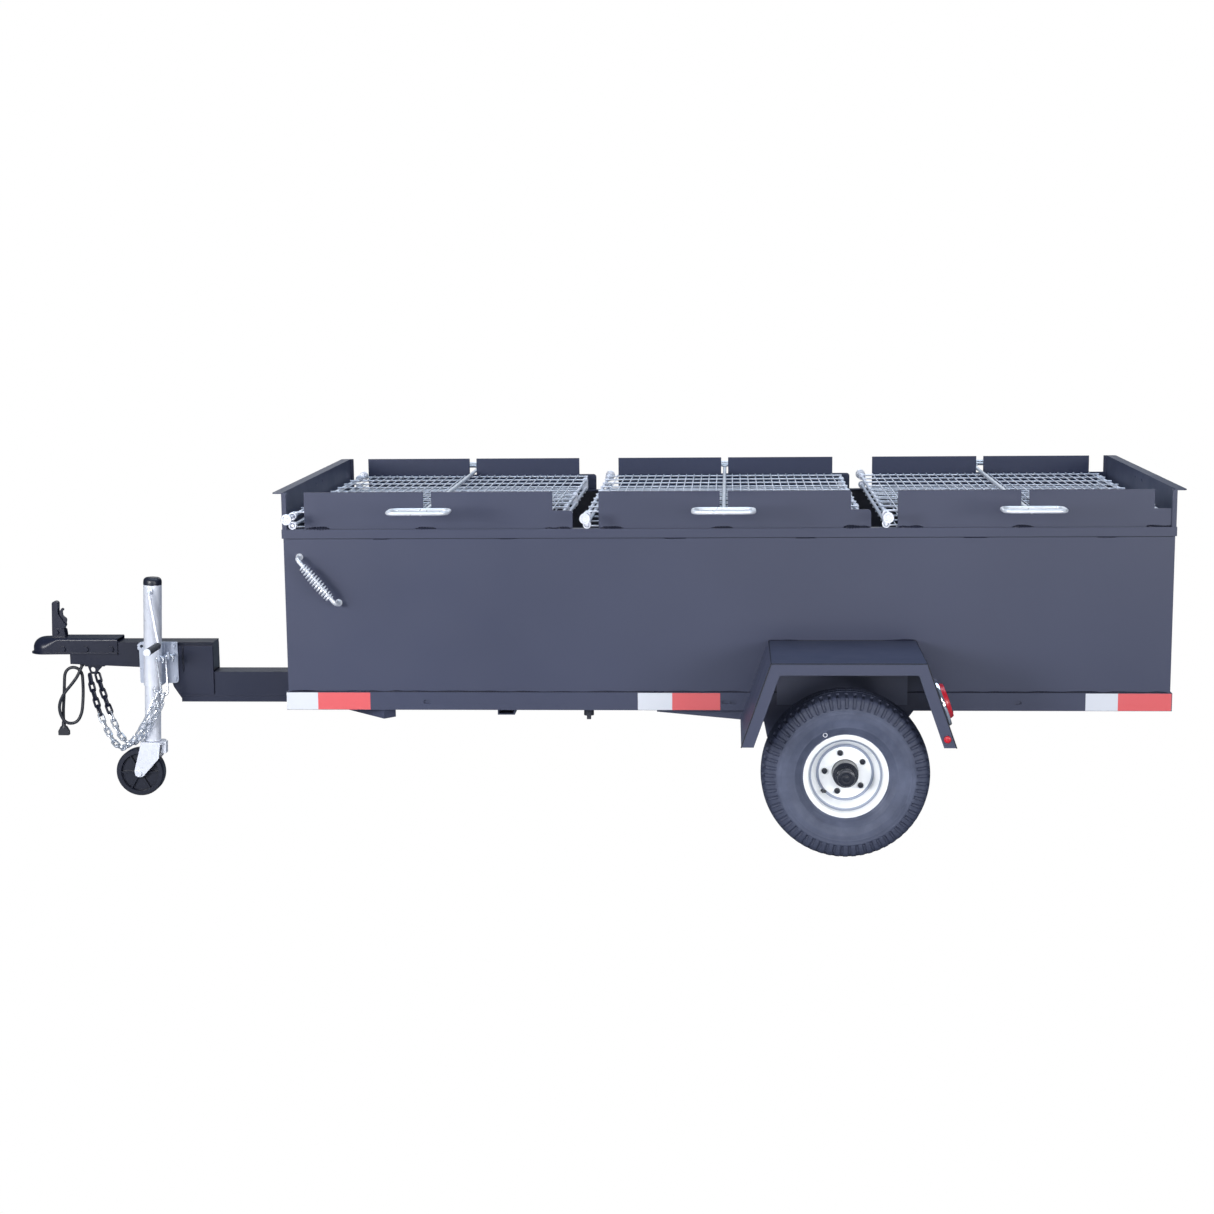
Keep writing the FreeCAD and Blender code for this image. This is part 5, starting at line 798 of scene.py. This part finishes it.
def grabShapes():  # a rod bent out from the wall and back, and a wire wound round it as a barrel
    wall = shell[0][1]
    top, foot = [np.array((boxFront + x, wall, z)) for x, z in (grabSize["top"], grabSize["foot"])]
    out = np.array((0, -grabSize["reach"], 0))
    line = [top]
    along = unit(foot - top)
    for corner, a, b in ((top + out, -out, along), (foot + out, -along, -out)):
        a, b = unit(a), unit(b)
        r = grabSize["bend"]
        centre = corner + (a + b) * r
        for t in np.linspace(0, math.pi / 2, 9):
            line.append(centre - b * r * math.cos(t) - a * r * math.sin(t))
    line.append(foot)
    shapes = [tube(np.array(line), grabSize["rod"], 16)]
    weld = [(0.0060, -0.0052), (0.0088, -0.0014), (0.0105, 0.0), (0.0060, 0.0)]
    shapes += [lathe(weld, end, (0, 1, 0), 20, True) for end in (top, foot)]
    piece("grab_rod", shapes, brightBar, "trailer", "grab_handle")

    s = coilSize
    length = float(np.linalg.norm(foot - top))
    sag = unit(np.array((0, 0, -1.0)) + along * along[2])
    begin = top + out + along * length * s["start"] + sag * s["sag"]
    side = unit(np.cross(along, (0, 1.0, 0)))
    up = np.cross(along, side)
    t = np.linspace(0, 1, s["turns"] * 28 + 1)
    turn = tau * s["turns"] * t
    swell = np.clip(np.minimum(t, 1 - t) / 0.12, 0, 1)  # wound closer at both ends than between
    place = np.cumsum(0.7 + 0.3 * swell)
    place = (place - place[0]) / (place[-1] - place[0])
    reach = s["slim"] + s["swell"] * np.sin(math.pi * t) ** 0.6
    path = (begin + along * (length * s["share"] * place)[:, None] + side * (reach * np.cos(turn))[:, None]
            + up * (reach * np.sin(turn))[:, None])
    piece("coil_grip", [tube(path, s["wire"], 8)], brightBar, "trailer", "handle_coil")


grabShapes()
print("grab handle made")


# safety chains: links of round wire, each a quarter turn from the last, the first few painted
linkSize = {"wire": 0.00325, "length": 0.027, "width": 0.009, "slack": 0.0008, "dark": 5, "coat": 1.18}
chainRoutes = [[(-0.751, -0.009, 0.368), (-0.745, -0.011, 0.330), (-0.731, -0.014, 0.276),
                (-0.712, -0.026, 0.226), (-0.681, -0.052, 0.180), (-0.640, -0.090, 0.151),
                (-0.602, -0.128, 0.166), (-0.574, -0.154, 0.192), (-0.547, -0.163, 0.228),
                (-0.523, -0.164, 0.270), (-0.503, -0.158, 0.312), (-0.493, -0.150, 0.344)],
               [(-0.732, 0.009, 0.368), (-0.722, 0.007, 0.330), (-0.704, 0.002, 0.276),
                (-0.684, -0.010, 0.228), (-0.657, -0.034, 0.184), (-0.620, -0.066, 0.160),
                (-0.590, -0.098, 0.168), (-0.560, -0.130, 0.192), (-0.528, -0.142, 0.230),
                (-0.503, -0.144, 0.270), (-0.484, -0.142, 0.312), (-0.472, -0.139, 0.348)]]
hookSize = {"wire": 0.0032, "inner": 0.008, "stud": 0.0045, "thicker": 1.12, "place": (-0.474, -0.137, 0.442),
            "apart": 0.0105, "stagger": 0.017}


def smoothLine(points, count):  # a natural cubic curve through the points, by chord length
    points = np.asarray(points, float)
    run = running(points)
    gap = np.diff(run)
    n = len(points)
    rule = np.eye(n)
    side = np.zeros((n, 3))
    for k in range(1, n - 1):
        rule[k, k - 1:k + 2] = gap[k - 1], 2 * (gap[k - 1] + gap[k]), gap[k]
        side[k] = 6 * ((points[k + 1] - points[k]) / gap[k] - (points[k] - points[k - 1]) / gap[k - 1])
    bend = np.linalg.solve(rule, side)
    t = np.linspace(0, run[-1], count)
    k = np.clip(np.searchsorted(run, t, "right") - 1, 0, n - 2)
    a, h = (t - run[k])[:, None], gap[k][:, None]
    b = h - a
    line = ((bend[k] * b ** 3 + bend[k + 1] * a ** 3) / (6 * h)
            + (points[k] / h - bend[k] * h / 6) * b + (points[k + 1] / h - bend[k + 1] * h / 6) * a)
    return line


def linkShape(centre, along, across, wire):
    # a closed link: a circle cut in two halves, which are pulled apart along the link
    s = linkSize
    halfLong = s["length"] / 2 + s["wire"]
    halfWide = s["width"] / 2 + s["wire"]
    turn = np.linspace(0, tau, 28, endpoint=False)
    u = np.cos(turn) * halfWide + np.sign(np.cos(turn)) * (halfLong - halfWide)
    v = np.sin(turn) * halfWide
    path = centre + np.outer(u, along) + np.outer(v, across)
    return tube(path, wire, 9, True, up=np.cross(along, across))


def hookShape(which, target):  # S-hook from a stud of the bracket down to the last link
    h = hookSize
    hand = -1 if which == 0 else 1
    arc = h["inner"] + h["wire"]
    x, y, z = h["place"]
    top = np.array((boxFront + x + h["apart"] * hand, y + h["stagger"] * hand + h["stud"] + h["wire"] + 0.001,
                    z + h["stud"] - h["inner"] + 0.0009))
    down = unit(target - top)
    low = target - down * arc
    path = []
    for spot, rise, start, stop in ((top, (0, 0, 1), -40, 175), (low, down, 5, 215)):
        turn = np.radians(np.linspace(start, stop, 22))
        path.append(spot + np.outer(np.sin(turn) * arc, rise) + np.outer(np.cos(turn) * arc, (1, 0, 0)))
    return tube(np.vstack(path), h["wire"] * h["thicker"], 12)


def chainShapes():  # links set at equal steps along each route, and a hook from each last link to its stud
    size = linkSize
    links, tones, hooks = [], [], []
    for line in chainRoutes:
        line = [(boxFront + x, y, z) for x, y, z in line]
        fine = smoothLine(line, 2000)
        run = running(fine)
        spacing = size["length"] - size["slack"]
        count = int(run[-1] / spacing)
        for k in range(count):
            where = spacing * (k + 0.5)
            centre, beyond = [np.array([np.interp(at, run, fine[:, c]) for c in range(3)])
                              for at in (where, where + 0.004)]
            along = unit(beyond - centre)
            flat = unit(np.cross((0, 1.0, 0), along))
            deep = np.cross(along, flat)
            last = count - 1 - k
            tilt = math.radians(90 * (last % 2) + 90 - min(45, 15 * last))
            across = flat * math.cos(tilt) + deep * math.sin(tilt)
            painted = k < size["dark"]
            links.append(linkShape(centre, along, across, size["wire"] * (size["coat"] if painted else 1.0)))
            tones.append(int(painted))
        hooks.append(hookShape(len(hooks), centre + along * (size["length"] / 2 - 0.0037)))
    piece("chain_links", links, [chainZinc, blackPaint], "trailer", "safety_chains",
          extra=tones)
    piece("chain_s_hooks", hooks, chainZinc, "trailer", "chain_hooks")


chainShapes()
pinSize = {"x": -0.851, "z": 0.504, "head": [(pole, 0.0022), (0.0036, 0.0022), (0.0048, 0.0010),
                                           (0.0050, -0.0010), (pole, -0.0010)]}
pinY = corners("latch_lever")[0][1] - 0.0006
pin = lathe(pinSize["head"], (boxFront + pinSize["x"], pinY, pinSize["z"]), (0, -1, 0), 24)
piece("latch_pin_head", [pin], chrome, "latch_handle")
print("chains made")


jackSize = {"lean": 2.3, "pivot": (-0.520, -0.098, 0.430), "outer": 0.0280, "shaftZ": 0.655, "knee": 0.048,
            "armRun": 0.031, "armDrop": 0.166, "gripLength": 0.134, "grooves": 18, "groovePitch": 0.0060}
pivot = Vector((boxFront + jackSize["pivot"][0], *jackSize["pivot"][1:]))
turnLean = (Matrix.Translation(pivot) @ Matrix.Rotation(math.radians(jackSize["lean"]), 4, "Y")
            @ Matrix.Translation(-pivot))


def jackShapes():  # turned tube, cap and grip, and a crank bent along a line, all leaned by one turn
    j = jackSize
    x, y = boxFront + j["pivot"][0], j["pivot"][1]
    z = j["shaftZ"]
    sleeve = [(0.0250, 0.352), (0.0272, 0.352), (0.0280, 0.3528), (0.0280, 0.600), (0.0283, 0.6005),
              (0.0283, 0.672), (0.0250, 0.672)]
    boss = [(0.0051, 0.003), (0.0051, -0.009), (0.0085, -0.009), (0.0100, -0.0078), (0.0110, -0.004),
            (0.0110, 0.003)]
    shapes = [lathe(sleeve, (x, y, 0), (0, 0, 1), 72, True),
              lathe(boss, (x, y - j["outer"], z), (0, 1, 0), 36, True)]
    piece("jack_tube", [moved(s, turnLean) for s in shapes], zinc, "trailer", "jack_outer_tube")
    cap = [(0.0250, 0.663), (0.0250, 0.671), (0.0285, 0.6725), (0.0287, 0.680), (0.0280, 0.6865),
           (0.0255, 0.6915), (0.0210, 0.6945), (0.0130, 0.6958), (pole, 0.6960)]
    piece("jack_top_cap", [moved(lathe(cap, (x, y, 0), (0, 0, 1), 60), turnLean)], blackPlastic, "trailer",
          "jack_cap")
    knee = y - j["knee"]
    endX, endZ = x + j["armRun"], z - j["armDrop"]
    line = [(x, y - 0.012, z), (x, knee + 0.010, z), (x + 0.0005, knee + 0.004, z - 0.0012),
            (x + 0.0015, knee, z - 0.007), (endX - 0.0015, knee, endZ + 0.009),
            (endX - 0.0005, knee - 0.002, endZ + 0.003), (endX, knee - 0.008, endZ),
            (endX, knee - j["gripLength"], endZ)]
    disc = [(pole, 0.0), (0.0108, 0.0), (0.0118, -0.0012), (0.0118, -0.005), (0.0104, -0.0064),
            (pole, -0.007)]
    shapes = [tube(np.array(line), 0.005, 14), lathe(disc, (endX, knee - 0.1280, endZ), (0, 1, 0), 28)]
    piece("crank_arm", [moved(s, turnLean) for s in shapes], zinc, "crank", "jack_crank")
    grip = [(0.0052, -0.010), (0.0098, -0.010), (0.0110, -0.0115)]
    for k in range(j["grooves"]):
        a = -0.014 - k * j["groovePitch"]
        grip += [(0.0110, a), (0.0110, a - 0.0042), (0.0104, a - 0.0048), (0.0104, a - 0.0056)]
    grip += [(0.0110, -0.1265), (0.0098, -0.128), (0.0052, -0.128)]
    piece("crank_sleeve", [moved(lathe(grip, (endX, knee, endZ), (0, 1, 0), 40, True), turnLean)], gripRubber,
          "crank", "crank_grip", 30)


jackShapes()
print("jack made")


studioSize = {"floor": 60, "drop": 0.0006, "skyLow": 0.10, "skyHigh": 0.24, "skyTint": (0.66, 0.80, 1.0),
              "aim": (0.4, 0, 0.6)}
white, blue = (1.0, 1.0, 1.0), (0.66, 0.82, 1.0)
lamps = {"key": ((-2.9, -4.6, 1.7), (1.2, 1.2), 150.0, white),  # place, size, power and colour
         "front": ((0.6, -4.9, 2.0), (2.4, 1.2), 50.0, white),
         "fill": ((3.5, -4.6, 1.3), (2.0, 1.2), 96.0, white),
         "top": ((0.4, 0.2, 5.0), (6.0, 2.5), 150.0, blue),
         "low": ((0.9, -3.3, 0.32), (1.8, 0.3), 8.0, white),
         "side": ((-2.8, -2.4, 1.1), (0.8, 0.8), 23.0, white),
         "rear": ((0.0, 5.5, 3.2), (6.0, 2.0), 50.0, white)}


def studio():  # floor, world and lamps; floor and world are white to the camera alone
    bpy.ops.mesh.primitive_plane_add(size=studioSize["floor"], location=(0.4, 2.0, -studioSize["drop"]))
    floor = bpy.context.active_object
    floor.name = "floor"
    s = Shader("floor_white")
    s.set(Base_Color=rgba(0.30, 0.32, 0.36), Roughness=0.9, Specular_IOR_Level=0.1)
    glow = s.add("ShaderNodeEmission", {"Color": rgba(1, 1, 1), "Strength": 1.0})
    seen = s.add("ShaderNodeLightPath").outputs["Is Camera Ray"]
    blend = s.add("ShaderNodeMixShader", {0: seen, 1: s.skin.outputs[0], 2: glow.outputs[0]})
    s.links.new(blend.outputs[0], s.nodes["Material Output"].inputs["Surface"])
    floor.data.materials.append(s.material)

    scene.world = bpy.data.worlds.new("studio")
    s = Shader("studio", scene.world)
    split = s.add("ShaderNodeSeparateXYZ", {0: s.add("ShaderNodeTexCoord").outputs["Generated"]})
    sky = s.ramp(split.outputs["Z"], -0.1, 0.9, studioSize["skyLow"], studioSize["skyHigh"])
    seen = s.add("ShaderNodeLightPath").outputs["Is Camera Ray"]
    s.set(Strength=s.add("ShaderNodeMix", {0: seen, 2: sky, 3: 1.0}, data_type="FLOAT").outputs[0])
    s.set(Color=s.mix(seen, rgba(*studioSize["skyTint"]), rgba(1, 1, 1)))

    for name, (place, size, power, colour) in lamps.items():
        data = bpy.data.lights.new(name, "AREA")
        data.shape = "RECTANGLE"
        data.size, data.size_y = size
        data.energy = power
        data.color = colour
        lamp = bpy.data.objects.new(name, data)
        lamp.location = place
        lamp.rotation_euler = (Vector(studioSize["aim"]) - Vector(place)).to_track_quat("-Z", "Y").to_euler()
        scene.collection.objects.link(lamp)


studio()
print("studio set")
